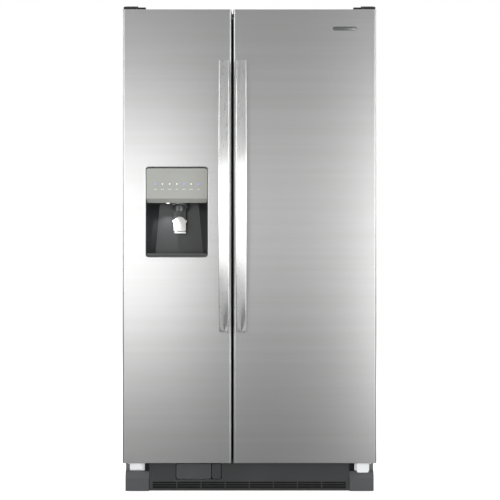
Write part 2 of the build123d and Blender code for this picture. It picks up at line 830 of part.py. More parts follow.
def drawer(box_x, level, length, tall, inset):
    """Sliding drawer with a pull lip and side flanges."""
    x0, x1 = inner_x(box_x)
    x0, x1 = x0 + inset, x1 - inset
    y0, y1 = shelf_front, shelf_front + length
    body = tray(x0, x1, y0, y1, level, level + tall, drawer_wall)
    flange = block(x0 - 9, x0 + 1, y0 + flange_setback, y1, level + tall - 6, level + tall - 3)
    flange += block(x1 - 1, x1 + 9, y0 + flange_setback, y1, level + tall - 6, level + tall - 3)
    grip = block((x0 + x1) / 2 - 60, (x0 + x1) / 2 + 60, y0 + 2.5, y0 + 12,
                 level + tall - 18, level + tall - 4)
    grip -= block((x0 + x1) / 2 - 57, (x0 + x1) / 2 + 57, y0 + 3, y0 + 10,
                  level + tall - 19, level + tall - 8)
    return merge([body, flange, grip])


def drawer_runners():
    """Ledges on the liner walls under the drawer flanges and under the ice bin."""
    x0, x1 = inner_x(freezer_box)
    z0 = bucket_level
    parts = [block(x0, x0 + 24, shelf_front, bucket_back, z0 - runner, z0),
             block(x1 - 24, x1, shelf_front, bucket_back, z0 - runner, z0)]
    for box_x in (freezer_box, fridge_box):
        x0, x1 = inner_x(box_x)
        for level, length, tall in drawer_sizes():
            z1 = level + tall - 6 - running_gap
            reach = drawer_side_inset - 2
            parts.append(block(x0, x0 + reach, shelf_front + 10, shelf_front + length, z1 - runner, z1))
            parts.append(block(x1 - reach, x1, shelf_front + 10, shelf_front + length, z1 - runner, z1))
    return join(parts)


def drawer_sizes():
    lower = (lower_drawer_level, lower_drawer_depth, lower_drawer_height)
    upper = (upper_drawer_level, upper_drawer_depth, upper_drawer_height)
    return [lower, upper]


# ---------------------------------------------------------------- doors

def door_span(name):
    """Left edge, right edge and hinge side of a door."""
    return {"freezer": (freezer_left, freezer_right, -1), "fridge": (fridge_left, fridge_right, 1)}[name]


def door_block(name, shrink, y0, y1, corner):
    x0, x1 = door_span(name)[:2]
    body = block(x0 + shrink, x1 - shrink, y0, y1, door_bottom + shrink, door_top - shrink)
    front_edges = body.edges().group_by(Axis.Y)[0]
    body = fillet(front_edges.filter_by(Axis.Z), corner)
    return fillet(body.edges().group_by(Axis.Y)[0], 1.2)


def pin_bores(name):
    """Clearance for the hinge pins, above and below."""
    side = door_span(name)[2]
    radius = pin_radius + pin_clearance
    low = rod("z", side * hinge_x, hinge_y, door_bottom - 1, radius, pin_length + 5)
    high = rod("z", side * hinge_x, hinge_y, door_top - pin_length - 1, radius, pin_length + 5)
    return low + high


def door_skin(name):
    """Folded stainless sheet: face, sides, top and bottom."""
    outer = door_block(name, 0, door_face, door_back, door_corner)
    inner = door_block(name, skin, door_face + skin, door_back, door_corner - skin)
    x0, x1 = door_span(name)[:2]
    mouth = block(x0 + skin, x1 - skin, door_back - 2, door_back + 1,
                  door_bottom + skin, door_top - skin)
    body = outer - inner - mouth - pin_bores(name)
    if name == "freezer":
        body -= niche_body()
    return body


def dam_range(name):
    """Span of the raised dam, from the hinge side to the free side."""
    side = door_span(name)[2]
    box_x = freezer_box if side < 0 else fridge_box
    hinge_end = side * (hinge_x - dam_hinge_inset)
    free_end = box_x[1] - liner_wall - dam_free_inset if side < 0 else box_x[0] + liner_wall + dam_free_inset
    return sorted((hinge_end, free_end))


def dam_frame(name, wall_shift):
    """Raised frame on the inside of the door."""
    x0, x1 = dam_range(name)
    z0 = floor_z + liner_wall + dam_end_inset
    z1 = roof_z - liner_wall - dam_end_inset
    s = wall_shift
    outer = block(x0 + s, x1 - s, door_back - liner_wall, dam_back - s, z0 + s, z1 - s)
    inner = block(x0 + dam_wall - s, x1 - dam_wall + s, door_back - 10, dam_back + 1,
                  z0 + dam_wall - s, z1 - dam_wall + s)
    return outer - inner


def bulge(shrink):
    """Raised housing behind the dispenser."""
    x0, x1 = dam_range("freezer")
    return block(x0 + shrink, x1 - shrink - dam_wall, door_back - liner_wall, bulge_back - shrink,
                 bulge_bottom + shrink, bulge_top - shrink)


def chute_bore(radius, z0, z1):
    """Upright round part of the ice path."""
    return rod("z", chute_x, chute_y, z0, radius, z1 - z0)


def hopper(shrink, z1):
    """Upper part of the ice path, from the round throat to the mouth in the inner door."""
    low = Pos(chute_x, chute_y, chute_throat) * Circle(chute_radius - shrink)
    high = Pos(chute_x, hopper_y, z1) * RectangleRounded(
        hopper_width - 2 * shrink, hopper_length - 2 * shrink, 10 - shrink)
    return loft([low, high])


def door_foam(name):
    """Foam between the skin and the inner liner."""
    body = door_block(name, skin, door_face + skin, door_back - liner_wall, door_corner - skin)
    body += dam_frame(name, liner_wall)
    if name == "freezer":
        body += bulge(liner_wall)
        body -= niche_body()
        body -= hopper(-running_gap, bulge_top)
    return body - pin_bores(name)


def door_liner(name):
    """White inner liner with its dam."""
    x0, x1 = door_span(name)[:2]
    panel = block(x0 + skin, x1 - skin, door_back - liner_wall, door_back,
                  door_bottom + skin, door_top - skin)
    body = panel + dam_frame(name, 0)
    if name == "freezer":
        body += bulge(0)
    body -= dam_frame(name, liner_wall)
    if name == "freezer":
        body -= bulge(liner_wall)
        body -= niche_body()
        body -= hopper(-running_gap, bulge_top)
    return body - pin_bores(name)


def gasket(name):
    """Magnetic seal around the back of the door."""
    x0, x1, side = door_span(name)
    hinge_end = side * (hinge_x - 1)
    free_end = x1 - 10 if side < 0 else x0 + 10
    a, b = sorted((hinge_end, free_end))
    z0, z1 = door_bottom + gasket_inset, door_top - gasket_inset
    y0, y1 = door_back, cab_front - running_gap
    body = block(a, b, y0, y1, z0, z1)
    body -= block(a + gasket_width, b - gasket_width, y0 - 1, y1 + 1,
                  z0 + gasket_width, z1 - gasket_width)
    return body


def handle_centre(name):
    side = door_span(name)[2]
    return freezer_right - handle_offset if side < 0 else fridge_left + handle_offset + 3


def handle(name):
    """Bowed flat bar with rounded edges on two posts."""
    x = handle_centre(name)
    z0, z1 = handle_bottom, handle_bottom + handle_length
    zm = (z0 + z1) / 2
    ends_y, mid_y = door_face - handle_end_reach, door_face - handle_reach
    front = ThreePointArc((ends_y, z0), (mid_y, zm), (ends_y, z1))
    back = ThreePointArc((ends_y + handle_bar, z1), (mid_y + handle_bar, zm),
                         (ends_y + handle_bar, z0))
    ends = [Line(front @ 1, back @ 0), Line(back @ 1, front @ 0)]
    side_face = make_face([front, back] + ends)
    bar = Pos(x - 30, 0, 0) * extrude(Plane.YZ * side_face, 60)
    e, m = handle_end_width / 2, handle_mid_width / 2
    left = ThreePointArc((x - e, z0), (x - m, zm), (x - e, z1))
    right = ThreePointArc((x + e, z1), (x + m, zm), (x + e, z0))
    caps = [Line(left @ 1, right @ 0), Line(right @ 1, left @ 0)]
    front_face = make_face([left, right] + caps)
    bar = bar & outline_prism(front_face)
    bar = fillet(bar.edges().group_by(SortBy.LENGTH)[-1], handle_edge)
    posts = [block(x - 11, x + 11, ends_y + handle_bar - 2, door_face, z, z + post_height)
             for z in (z0 + 8, z1 - 8 - post_height)]
    return merge([bar] + posts)


def outline_prism(face):
    """A front view outline pushed through the handle from front to back."""
    return Pos(0, door_face + handle_reach, 0) * Rot(90, 0, 0) * extrude(face, 3 * handle_reach)


def bin_span(name):
    """Door bins run between the two sides of the dam."""
    x0, x1 = dam_range(name)
    side = door_span(name)[2]
    hinge_end = side * (hinge_x - bin_hinge_inset)
    if side < 0:
        return hinge_end, x1 - dam_wall - 0.5
    return x0 + dam_wall + 0.5, hinge_end


def door_bin(x0, x1, level, tall):
    y0, y1 = door_back, bin_back
    body = tray(x0, x1, y0, y1, level, level + tall, bin_wall)
    return chamfer(body.edges().filter_by(Axis.Z).group_by(Axis.Y)[-1], 2)


def freezer_bins():
    x0, x1 = bin_span("freezer")
    return join([door_bin(x0, x1, level, bin_height) for level in freezer_bin_levels])


def fridge_bins():
    x0, x1 = bin_span("fridge")
    bins = [door_bin(x0, x1, level, bin_height + fridge_bin_extra) for level in fridge_bin_levels]
    return join(bins + [dairy_box()])


def dairy_span():
    x0, x1 = bin_span("fridge")
    return x0 + dairy_inset, x1, dairy_bottom, dairy_top


def dairy_box():
    """Closed compartment near the top of the fridge door, open at its front."""
    x0, x1, z0, z1 = dairy_span()
    body = block(x0, x1, door_back, bin_back, z0, z1)
    return body - block(x0 + bin_wall, x1 - bin_wall, door_back + bin_wall, bin_back + 1,
                        z0 + bin_wall, z1 - bin_wall)


def dairy_lid():
    """Clear lid that lifts on its top edge."""
    x0, x1, z0, z1 = dairy_span()
    y = bin_back + running_gap
    axis_z = z1 - lid_sheet / 2
    body = block(x0, x1, y, y + lid_sheet, z0 + 2, axis_z)
    body += rod("x", x0, y + lid_sheet / 2, axis_z, lid_sheet / 2, x1 - x0)
    return body + block((x0 + x1) / 2 - 40, (x0 + x1) / 2 + 40, y + 2.5, y + 9, z0 + 4, z0 + 8)


# ---------------------------------------------------------------- dispenser

def niche_body():
    """Outer form of the dispenser tub."""
    return rounded_front(niche_x0, niche_x1, door_face, niche_back + niche_wall,
                         niche_bottom, niche_top, niche_corner)


def niche_cavity(gap):
    """Tapered inside of the tub, below its roof, less a gap all round."""
    w = niche_wall + gap
    x0, x1 = niche_x0 + w, niche_x1 - w
    z0, z1 = niche_bottom + w, niche_roof - w
    front = Plane.XZ.offset(-(door_face - 1)) * (
        Pos((x0 + x1) / 2, (z0 + z1) / 2) * RectangleRounded(x1 - x0, z1 - z0, niche_corner - w))
    low, high = niche_low_taper, niche_top_taper
    corners = [(x0 + low, z0), (x1 - low, z0), (x1 - high, z1), (x0 + high, z1)]
    outline = make_face(Polyline(*corners, close=True))
    outline = fillet(outline.vertices(), niche_corner - w)
    return loft([front, Plane.XZ.offset(-niche_back) * outline])


def dispenser_housing():
    """Dark tub with a roof, and a bay above it for the panel and the electronics."""
    body = niche_body() - niche_cavity(0)
    w = niche_wall
    bay = rounded_front(niche_x0 + w, niche_x1 - w, door_face - 1, niche_back,
                        niche_roof, niche_top - w, niche_corner - w)
    bay += block(niche_x0 + w, niche_x1 - w, door_face - 1, niche_back, niche_roof, niche_roof + 20)
    body -= bay
    body -= block(niche_x0 + w, niche_x1 - w, door_face - 1, door_face + 2 + panel_thickness,
                  panel_bottom - 0.5, niche_roof + 1)
    body -= chute_bore(chute_radius + running_gap, niche_roof - 5, niche_roof + 5)
    body -= hopper(-running_gap, bulge_top)
    lugs = []
    for centre in (chute_x - arm_width / 2 - lug, chute_x + arm_width / 2 + lug):
        piece = block(centre - lug / 2, centre + lug / 2, lever_y - 8, lever_y + 8,
                      lever_pivot_level - 8, niche_roof - 1)
        piece -= rod("x", centre - lug, lever_y, lever_pivot_level,
                     boss_radius + pin_clearance, 2 * lug)
        lugs.append(piece)
    return merge([body] + lugs)


def control_panel():
    """Flat touch panel with a bevelled lower edge."""
    w = niche_wall
    x0, x1 = niche_x0 + w + 0.5, niche_x1 - w - 0.5
    z0, z1 = panel_bottom, niche_top - w - panel_gap + 1.5
    y0 = door_face + panel_recess
    body = rounded_front(x0, x1, y0, y0 + panel_thickness, z0, z1, 8)
    cut = [(y0 - 1, z0 - 1), (y0 - 1, z0 + bevel_height), (y0 + 9, z0 - 1)]
    wedge = Pos(x0 - 5, 0, 0) * extrude(Plane.YZ * make_face(Polyline(*cut, close=True)),
                                        x1 - x0 + 10)
    posts = [block(x - 5, x + 5, y0 + panel_thickness - 1, niche_back, z - 5, z + 5)
             for x in (x0 + 22, x1 - 22) for z in (z0 + 31, z0 + 99)]
    return merge([body - wedge] + posts)


def ice_chute():
    """Chute from the mouth in the inner door down to the slanted spout in the niche."""
    body = chute_bore(chute_radius, chute_low, chute_throat) + hopper(0, bulge_top)
    body -= chute_bore(chute_radius - chute_wall, chute_low - 1, chute_throat + 0.5)
    body -= hopper(chute_wall, bulge_top)
    body -= chute_bore(chute_radius - chute_wall, chute_throat - 0.5, chute_throat + 0.5)
    back = chute_y + chute_radius
    front = chute_y - chute_radius
    below = [(front - 5, chute_low - 5), (back + 5, chute_low - 5), (back, chute_low),
             (front, chute_low + chute_slant), (front - 5, chute_low + chute_slant)]
    wedge = extrude(Plane.YZ * make_face(Polyline(*below, close=True)), 2 * chute_radius + 10)
    return body - Pos(chute_x - chute_radius - 5, 0, 0) * wedge


def chute_flap():
    """Round flap that closes the chute, hinged at the back."""
    y = chute_y + flap_pin_back
    disc = chute_bore(flap_radius, flap_level, flap_level + flap_sheet)
    disc &= block(chute_x - 40, chute_x + 40, chute_y - 60, y, flap_level - 1, flap_level + 4)
    half = flap_radius - 7
    return disc + rod("x", chute_x - half, y, flap_level + flap_sheet / 2, flap_sheet / 2, 2 * half)


def dispenser_lever():
    """Dark arm with a domed paddle, turning on a cross shaft."""
    x, y, z = chute_x, lever_y, lever_pivot_level
    half = arm_width / 2
    top = paddle_bottom + paddle_height
    arm = block(x - half, x + half, y - 2, y + 2, top - 12, z)
    boss = rod("x", x - half - 1.4 * lug, y, z, boss_radius, 2 * half + 2.8 * lug)
    body = rounded_front(x - half - 1, x + half + 1, y - 7, y - 1.5, paddle_bottom + 4, top - 4, 5)
    dome = rod("y", x, y - 7, top - 25, 25, 5.5)
    dome &= block(x - half - 1, x + half + 1, y - 10, y, top - 30, top)
    wide = paddle_width / 2
    ears = rounded_front(x - wide, x + wide, y - 6, y - 1.5, top - 24, top - 12, 4)
    low = rounded_front(x - half + 2, x + half + 1, y - 9, y - 1.5, paddle_bottom, paddle_bottom + 8, 3)
    return merge([arm, boss, body, dome, ears, low])


def drip_tray():
    """Lift-out tray on the floor of the niche."""
    z0 = niche_bottom + niche_wall
    y0, y1 = door_face + 3, niche_back - 6
    body = niche_cavity(0.5) & block(niche_x0, niche_x1, y0, y1, z0 + 0.5, z0 + 10)
    body += block(chute_x - 50, chute_x + 50, y0 + 8, y1 - 8, z0, z0 + 1)
    pitch = (y1 - y0 - 16) / 9
    for number in range(9):
        y = y0 + 9 + number * pitch
        body -= block(niche_x0 + 40, niche_x1 - 40, y, y + 0.55 * pitch, z0 + 3, z0 + 11)
    return body


def build_all():
    """Every node by name."""
    low, high = drawer_sizes()
    front_z = roller_radius + roller_lift
    nodes = {
        "outer_wrapper": outer_wrapper(),
        "back_panel": back_panel(),
        "insulation_foam": insulation_foam(),
        "freezer_liner": freezer_liner(),
        "fridge_liner": fridge_liner(),
        "base_frame": join([base_frame()] + roller_axles()),
        "base_grille": base_grille(),
        "corner_covers": corner_covers(),
        "lower_hinges": lower_hinges(),
        "upper_hinges": upper_hinges(),
        "hinge_covers": hinge_covers(),
        "hinge_screws": hinge_screws(),
        "compressor": compressor(),
        "condenser": join([condenser(), fan_shroud()]),
        "condenser_fan": condenser_fan(),
        "drain_pan": drain_pan(),
        "machine_cover": machine_cover(),
        "water_valve": water_valve(),
        "power_inlet": power_inlet(),
        "filter_housing": filter_housing(),
        "filter_cartridge": filter_cartridge(),
        "eject_button": eject_button(),
        "fridge_shelves": fridge_shelves(),
        "freezer_shelves": freezer_shelves(),
        "evaporator_cover": join([evaporator_cover(), fan_motor()]),
        "evaporator": evaporator(),
        "evaporator_fan": evaporator_fan(),
        "ice_maker": ice_maker(),
        "ice_maker_arm": ice_maker_arm(),
        "ice_bucket": ice_bucket(),
        "drawer_runners": drawer_runners(),
        "freezer_basket_lower": drawer(freezer_box, *low, drawer_side_inset),
        "freezer_basket_upper": drawer(freezer_box, *high, drawer_side_inset),
        "crisper_drawer": drawer(fridge_box, *low, drawer_side_inset),
        "deli_drawer": drawer(fridge_box, *high, drawer_side_inset),
        "freezer_bins": freezer_bins(),
        "fridge_bins": fridge_bins(),
        "dairy_lid": dairy_lid(),
        "dispenser_housing": dispenser_housing(),
        "control_panel": control_panel(),
        "ice_chute": ice_chute(),
        "chute_flap": chute_flap(),
        "dispenser_lever": dispenser_lever(),
        "drip_tray": drip_tray(),
    }
    for name in ("freezer", "fridge"):
        nodes[name + "_door_skin"] = door_skin(name)
        nodes[name + "_door_foam"] = door_foam(name)
        nodes[name + "_door_liner"] = door_liner(name)
        nodes[name + "_gasket"] = gasket(name)
        nodes[name + "_handle"] = handle(name)
    for side, word in ((-1, "left"), (1, "right")):
        nodes["front_roller_" + word] = roller(side, front_roller_y, front_z)
        nodes["rear_roller_" + word] = roller(side, rear_roller_y, roller_radius)
        nodes["levelling_leg_" + word] = levelling_leg(side)
    return nodes


os.makedirs("parts", exist_ok=True)
for node_name, node_shape in build_all().items():
    export_step(node_shape, f"parts/{node_name}.step")
    print(node_name, round(node_shape.volume / 1000, 1), "cm3")
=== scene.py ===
import bmesh
import bpy
import math
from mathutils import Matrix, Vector


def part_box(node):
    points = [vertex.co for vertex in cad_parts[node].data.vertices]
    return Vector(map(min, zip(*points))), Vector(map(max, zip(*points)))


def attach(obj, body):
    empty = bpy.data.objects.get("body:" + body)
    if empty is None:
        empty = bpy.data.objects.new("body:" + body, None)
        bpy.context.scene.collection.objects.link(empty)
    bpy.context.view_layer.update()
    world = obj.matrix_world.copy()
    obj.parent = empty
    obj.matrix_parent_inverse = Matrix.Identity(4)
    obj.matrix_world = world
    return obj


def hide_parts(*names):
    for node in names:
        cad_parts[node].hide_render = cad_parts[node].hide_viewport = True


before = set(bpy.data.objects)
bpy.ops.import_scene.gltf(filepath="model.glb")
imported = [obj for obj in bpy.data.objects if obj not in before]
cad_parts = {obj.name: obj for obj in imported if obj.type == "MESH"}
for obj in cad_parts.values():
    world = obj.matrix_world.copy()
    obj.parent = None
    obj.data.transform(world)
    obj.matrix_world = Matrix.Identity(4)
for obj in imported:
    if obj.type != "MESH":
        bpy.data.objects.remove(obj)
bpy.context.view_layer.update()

# Studio. A white floor and sweep. Large soft boxes stand left and right of the camera with a weaker one
# between them, one overhead, a strip on each side and one box behind each back corner. The floor is kept
# out of the mirror look of the steel, as a black cloth would be.
door_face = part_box("freezer_door_skin")[0][1]
eye_x = 0.0016
eye_height = 0.882
eye_distance = 3.2

camera_data = bpy.data.cameras.new("camera")
camera_data.sensor_width = 36.0
camera_data.lens = 64.5
camera = bpy.data.objects.new("camera", camera_data)
camera.location = (eye_x, door_face - eye_distance, eye_height)
camera.rotation_euler = (math.radians(90), 0, 0)
bpy.context.collection.objects.link(camera)
bpy.context.scene.camera = camera
bpy.context.scene.view_settings.view_transform = "Standard"


def soft_box(name, place, aim, wide, tall, power):
    """One rectangular studio light, turned to face a point."""
    data = bpy.data.lights.new(name, "AREA")
    data.shape = "RECTANGLE"
    data.size, data.size_y = wide, tall
    data.energy = power
    light = bpy.data.objects.new(name, data)
    light.location = place
    turn = (Vector(aim) - Vector(place)).to_track_quat("-Z", "Y")
    light.rotation_euler = turn.to_euler()
    bpy.context.collection.objects.link(light)
    return light


soft_box("left_box", (-1.3, door_face - 3.0, 0.98), (-0.3, door_face, 0.95), 1.8, 1.25, 19)
soft_box("right_box", (1.65, door_face - 2.9, 0.8), (0.3, door_face, 0.85), 1.5, 2.1, 27)
soft_box("middle_box", (0.15, door_face - 3.4, 1.15), (0, door_face, 0.95), 1.7, 1.0, 3.6)
soft_box("top_box", (0.0, -0.8, 3.6), (0, 0, 0.8), 2.6, 2.6, 12)
soft_box("left_strip", (-2.3, -2.6, 1.9), (0, door_face, 1.2), 0.9, 2.0, 26)
soft_box("right_strip", (2.3, -2.6, 1.9), (0, door_face, 1.2), 0.9, 2.0, 22)
soft_box("back_left_box", (-3.0, 2.4, 1.8), (0, 0, 0.9), 1.8, 2.4, 45)
soft_box("back_right_box", (3.0, 2.4, 1.8), (0, 0, 0.9), 1.8, 2.4, 45)

world = bpy.data.worlds.new("studio")
bpy.context.scene.world = world
world.use_nodes = True
sky = world.node_tree
sky.nodes.clear()
sky_out = sky.nodes.new("ShaderNodeOutputWorld")
seen = sky.nodes.new("ShaderNodeBackground")
seen.inputs["Color"].default_value = (1, 1, 1, 1)
room = sky.nodes.new("ShaderNodeBackground")
room.inputs["Color"].default_value = (0.275, 0.275, 0.278, 1)
# the sweep is lit from above, so it falls to black low down in front of the steel
black_below, lit_above = -0.42, -0.26
way = sky.nodes.new("ShaderNodeTexCoord")
split = sky.nodes.new("ShaderNodeSeparateXYZ")
fall = sky.nodes.new("ShaderNodeMapRange")
fall.inputs["From Min"].default_value = black_below
fall.inputs["From Max"].default_value = lit_above
sky.links.new(way.outputs["Generated"], split.inputs[0])
sky.links.new(split.outputs["Z"], fall.inputs["Value"])
sky.links.new(fall.outputs["Result"], room.inputs["Strength"])
path = sky.nodes.new("ShaderNodeLightPath")
either = sky.nodes.new("ShaderNodeMixShader")
sky.links.new(path.outputs["Is Camera Ray"], either.inputs[0])
sky.links.new(room.outputs[0], either.inputs[1])
sky.links.new(seen.outputs[0], either.inputs[2])
sky.links.new(either.outputs[0], sky_out.inputs[0])

floor_mesh = bpy.data.meshes.new("floor")
reach = 40.0
floor_mesh.from_pydata([(-reach, -reach, 0), (reach, -reach, 0), (reach, reach, 0), (-reach, reach, 0)],
                       [], [(0, 1, 2, 3)])
floor = bpy.data.objects.new("floor", floor_mesh)
bpy.context.collection.objects.link(floor)
floor.visible_glossy = False


def linear(code, alpha=1.0):
    """An sRGB hex colour as the linear colour that shaders take."""
    parts = [int(code[i:i + 2], 16) / 255 for i in (1, 3, 5)]
    return tuple(c / 12.92 if c <= 0.04045 else ((c + 0.055) / 1.055) ** 2.4 for c in parts) + (alpha,)


def add_node(material, kind, inputs=None, **settings):
    """Adds one shader node, with its settings and its values or links."""
    node = material.node_tree.nodes.new(kind)
    for name, value in settings.items():
        setattr(node, name, value)
    for name, value in (inputs or {}).items():
        if isinstance(value, bpy.types.NodeSocket):
            material.node_tree.links.new(value, node.inputs[name])
        else:
            node.inputs[name].default_value = value
    return node


def new_material(name, colour, **values):
    """A material with its principled shader: values are set on the shader's own sockets."""
    material = bpy.data.materials.new(name)
    material.use_nodes = True
    material.node_tree.nodes.clear()
    shader = add_node(material, "ShaderNodeBsdfPrincipled")
    shader.inputs["Base Color"].default_value = linear(colour)
    for word, value in values.items():
        shader.inputs[word.replace("_", " ")].default_value = value
    end = add_node(material, "ShaderNodeOutputMaterial")
    material.node_tree.links.new(shader.outputs["BSDF"], end.inputs["Surface"])
    return material, shader

floor_paint, floor_shader = new_material("studio_floor_paint", "#FFFFFF", Roughness=0.9)
floor_shader.inputs["Emission Color"].default_value = (1, 1, 1, 1)
floor_shader.inputs["Emission Strength"].default_value = 0.8
floor_mesh.materials.append(floor_paint)

# Cabinet. Side and roof sheet is steel with a fine textured powder coat, folded and foamed in place;
# the back panel is bare galvanised sheet. The two halves of the inside are vacuum formed styrene.
def stretched(material, scale):
    """Object coordinates scaled by axis, in cycles a metre."""
    place = add_node(material, "ShaderNodeTexCoord")
    return add_node(material, "ShaderNodeMapping", {"Vector": place.outputs["Object"], "Scale": scale})


def vary(material, shader, socket, source, low, high):
    """Drives a number on the shader between two values from a pattern."""
    change = add_node(material, "ShaderNodeMapRange",
                      {"Value": source, "From Min": 0.3, "From Max": 0.7, "To Min": low, "To Max": high})
    material.node_tree.links.new(change.outputs["Result"], shader.inputs[socket])


def tint(material, shader, source, first, second):
    """Mixes two close colours by a pattern."""
    ramp = add_node(material, "ShaderNodeValToRGB", {"Fac": source})
    ramp.color_ramp.elements[0].position = 0.3
    ramp.color_ramp.elements[1].position = 0.7
    ramp.color_ramp.elements[0].color = linear(first)
    ramp.color_ramp.elements[1].color = linear(second)
    material.node_tree.links.new(ramp.outputs["Color"], shader.inputs["Base Color"])


def relief(material, shader, source, depth_mm, strength=1.0):
    """Bump of a real depth from a pattern."""
    bump = add_node(material, "ShaderNodeBump",
                    {"Height": source, "Distance": depth_mm / 1000, "Strength": strength})
    material.node_tree.links.new(bump.outputs["Normal"], shader.inputs["Normal"])


def dress(node, material):
    """Gives a CAD node its material."""
    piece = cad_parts[node]
    piece.data.materials.clear()
    piece.data.materials.append(material)
    return piece


def coated_metal(name, first, second, rough, texture_mm, depth_mm, metallic=0.0):
    """Sheet or casting with a coat: a cell pattern for powder texture or zinc spangle."""
    material, shader = new_material(name, first, Roughness=rough, Metallic=metallic)
    cells = add_node(material, "ShaderNodeTexVoronoi",
                     {"Vector": stretched(material, (1000 / texture_mm,) * 3).outputs[0], "Scale": 1.0},
                     feature="SMOOTH_F1")
    cloud = add_node(material, "ShaderNodeTexNoise",
                     {"Vector": stretched(material, (8, 8, 8)).outputs[0], "Scale": 1.0, "Detail": 4.0})
    tint(material, shader, cells.outputs["Distance"], first, second)
    vary(material, shader, "Roughness", cloud.outputs["Fac"], rough * 0.95, min(1.0, rough * 1.06))
    relief(material, shader, cells.outputs["Distance"], depth_mm)
    return material


def moulding(name, first, second, rough, grain_mm=0.6, depth_mm=0.02, **values):
    """Moulded plastic: fine spark grain in the relief, faint flow marks in colour and gloss."""
    material, shader = new_material(name, first, Roughness=rough, **values)
    per_metre = 1000 / grain_mm
    spark = stretched(material, (per_metre,) * 3)
    grain = add_node(material, "ShaderNodeTexNoise",
                     {"Vector": spark.outputs[0], "Scale": 1.0, "Detail": 2.0})
    flow = add_node(material, "ShaderNodeTexNoise",
                    {"Vector": stretched(material, (6, 6, 4)).outputs[0], "Scale": 1.0, "Detail": 1.0})
    tint(material, shader, flow.outputs["Fac"], first, second)
    vary(material, shader, "Roughness", flow.outputs["Fac"], rough * 0.97, min(1.0, rough * 1.04))
    relief(material, shader, grain.outputs["Fac"], depth_mm)
    return material


cabinet_coat = coated_metal("textured_powder_coat", "#5A5B5C", "#626364", 0.46, 1.1, 0.05)
galvanised = coated_metal("galvanised_sheet", "#A3A6A8", "#B4B7B8", 0.38, 7.0, 0.004, metallic=1.0)
dress("outer_wrapper", cabinet_coat)
dress("back_panel", galvanised)
white_styrene = moulding("white_vacuum_formed_styrene", "#EAEBE9", "#EDEEEC", 0.3, 1.6, 0.006)
for tub in ("freezer_liner", "fridge_liner", "freezer_door_liner", "fridge_door_liner", "drawer_runners"):
    dress(tub, white_styrene)
foam, foam_shader = new_material("poured_urethane_foam", "#E4D3A0", Roughness=0.85)
bubbles_a_metre = 420
bubbles = add_node(foam, "ShaderNodeTexVoronoi",
                   {"Vector": stretched(foam, (bubbles_a_metre,) * 3).outputs[0], "Scale": 1.0})
tint(foam, foam_shader, bubbles.outputs["Distance"], "#D8C690", "#EADBAC")
relief(foam, foam_shader, bubbles.outputs["Distance"], 0.6)
for filling in ("insulation_foam", "freezer_door_foam", "fridge_door_foam"):
    dress(filling, foam)

# Mullion plate. A dark painted strip clipped over the joint between the two liners, between the seals; its
# dark colour is also painted shade that keeps the gap between the doors black.
def link_piece(name, form, materials, body, nodes=()):
    """Makes a piece from a mesh form, on its body, in place of the CAD nodes it stands for."""
    mesh = bpy.data.meshes.new(name)
    bmesh.ops.recalc_face_normals(form, faces=form.faces)
    form.to_mesh(mesh)
    form.free()
    for material in materials:
        mesh.materials.append(material)
    mesh.shade_smooth()
    mesh.set_sharp_from_angle(angle=math.radians(32))
    piece = bpy.data.objects.new(name, mesh)
    bpy.context.collection.objects.link(piece)
    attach(piece, body)
    if nodes:
        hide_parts(*nodes)
    return piece


def add_box(form, low, high, radius=0.0, segments=2):
    """A box between two corners with all its edges rounded."""
    made = bmesh.ops.create_cube(form, size=1.0)["verts"]
    middle = (Vector(low) + Vector(high)) / 2
    size = Vector(high) - Vector(low)
    for vert in made:
        vert.co = Vector((vert.co[i] * size[i] + middle[i] for i in range(3)))
    if radius:
        edges = {edge for vert in made for edge in vert.link_edges}
        bmesh.ops.bevel(form, geom=list(edges), offset=radius, segments=segments, profile=0.5,
                        affect="EDGES", clamp_overlap=True)


# dark paint of the mullion plate, partly painted shade for the gap between the doors
mullion_shade_paint = coated_metal("mullion_paint_painted_shade", "#202122", "#262728", 0.45, 1.1, 0.02)
left_seal, right_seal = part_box("freezer_gasket")[1].x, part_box("fridge_gasket")[0].x
flange_low, flange_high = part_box("freezer_liner")
seal_gap, plate_end = 0.002, 0.004
plate_proud, plate_sunk, plate_edge = 0.0008, 0.0002, 0.0004
plate_form = bmesh.new()
add_box(plate_form, (left_seal + seal_gap, flange_low.y - plate_proud, flange_low.z + plate_end),
        (right_seal - seal_gap, flange_low.y + plate_sunk, flange_high.z - plate_end), plate_edge, 2)
link_piece("mullion_plate", plate_form, [mullion_shade_paint], "cabinet")

# Base. Rails and deck in black dip paint, which is also painted shade for what shows through the gaps;
# galvanised hinge brackets, zinc plated levelling legs, moulded nylon rollers and a black kick plate with its
# filter cap. The hinge tabs at the door corners are painted a light colour.
dress("base_frame", coated_metal("black_dip_paint_and_shade", "#161718", "#1D1E1F", 0.5, 1.6, 0.02))
zinc = coated_metal("bright_zinc_plate", "#9FA2A3", "#ADAFAF", 0.34, 2.5, 0.006, metallic=1.0)
for leg in ("levelling_leg_left", "levelling_leg_right"):
    dress(leg, zinc)
nylon = moulding("moulded_nylon", "#C9C8C0", "#D2D1CA", 0.42, 0.8, 0.015)
for wheel in ("front_roller_left", "front_roller_right", "rear_roller_left", "rear_roller_right"):
    dress(wheel, nylon)
kick_plate = moulding("charcoal_moulded_abs", "#2E2F30", "#323334", 0.5, 0.5, 0.03)
dress("base_grille", kick_plate)
dress("corner_covers", moulding("grey_moulded_abs", "#414345", "#46484A", 0.45, 0.5, 0.03))
dress("filter_cartridge", moulding("satin_charcoal_cap", "#3F4041", "#444546", 0.32, 0.5, 0.01))
dress("eject_button", moulding("satin_charcoal_button", "#343536", "#39393A", 0.36, 0.5, 0.01))
dress("filter_housing", kick_plate)
tab_paint = coated_metal("light_bracket_paint", "#C9CBCB", "#D0D2D2", 0.42, 1.2, 0.01)
dress("lower_hinges", tab_paint)
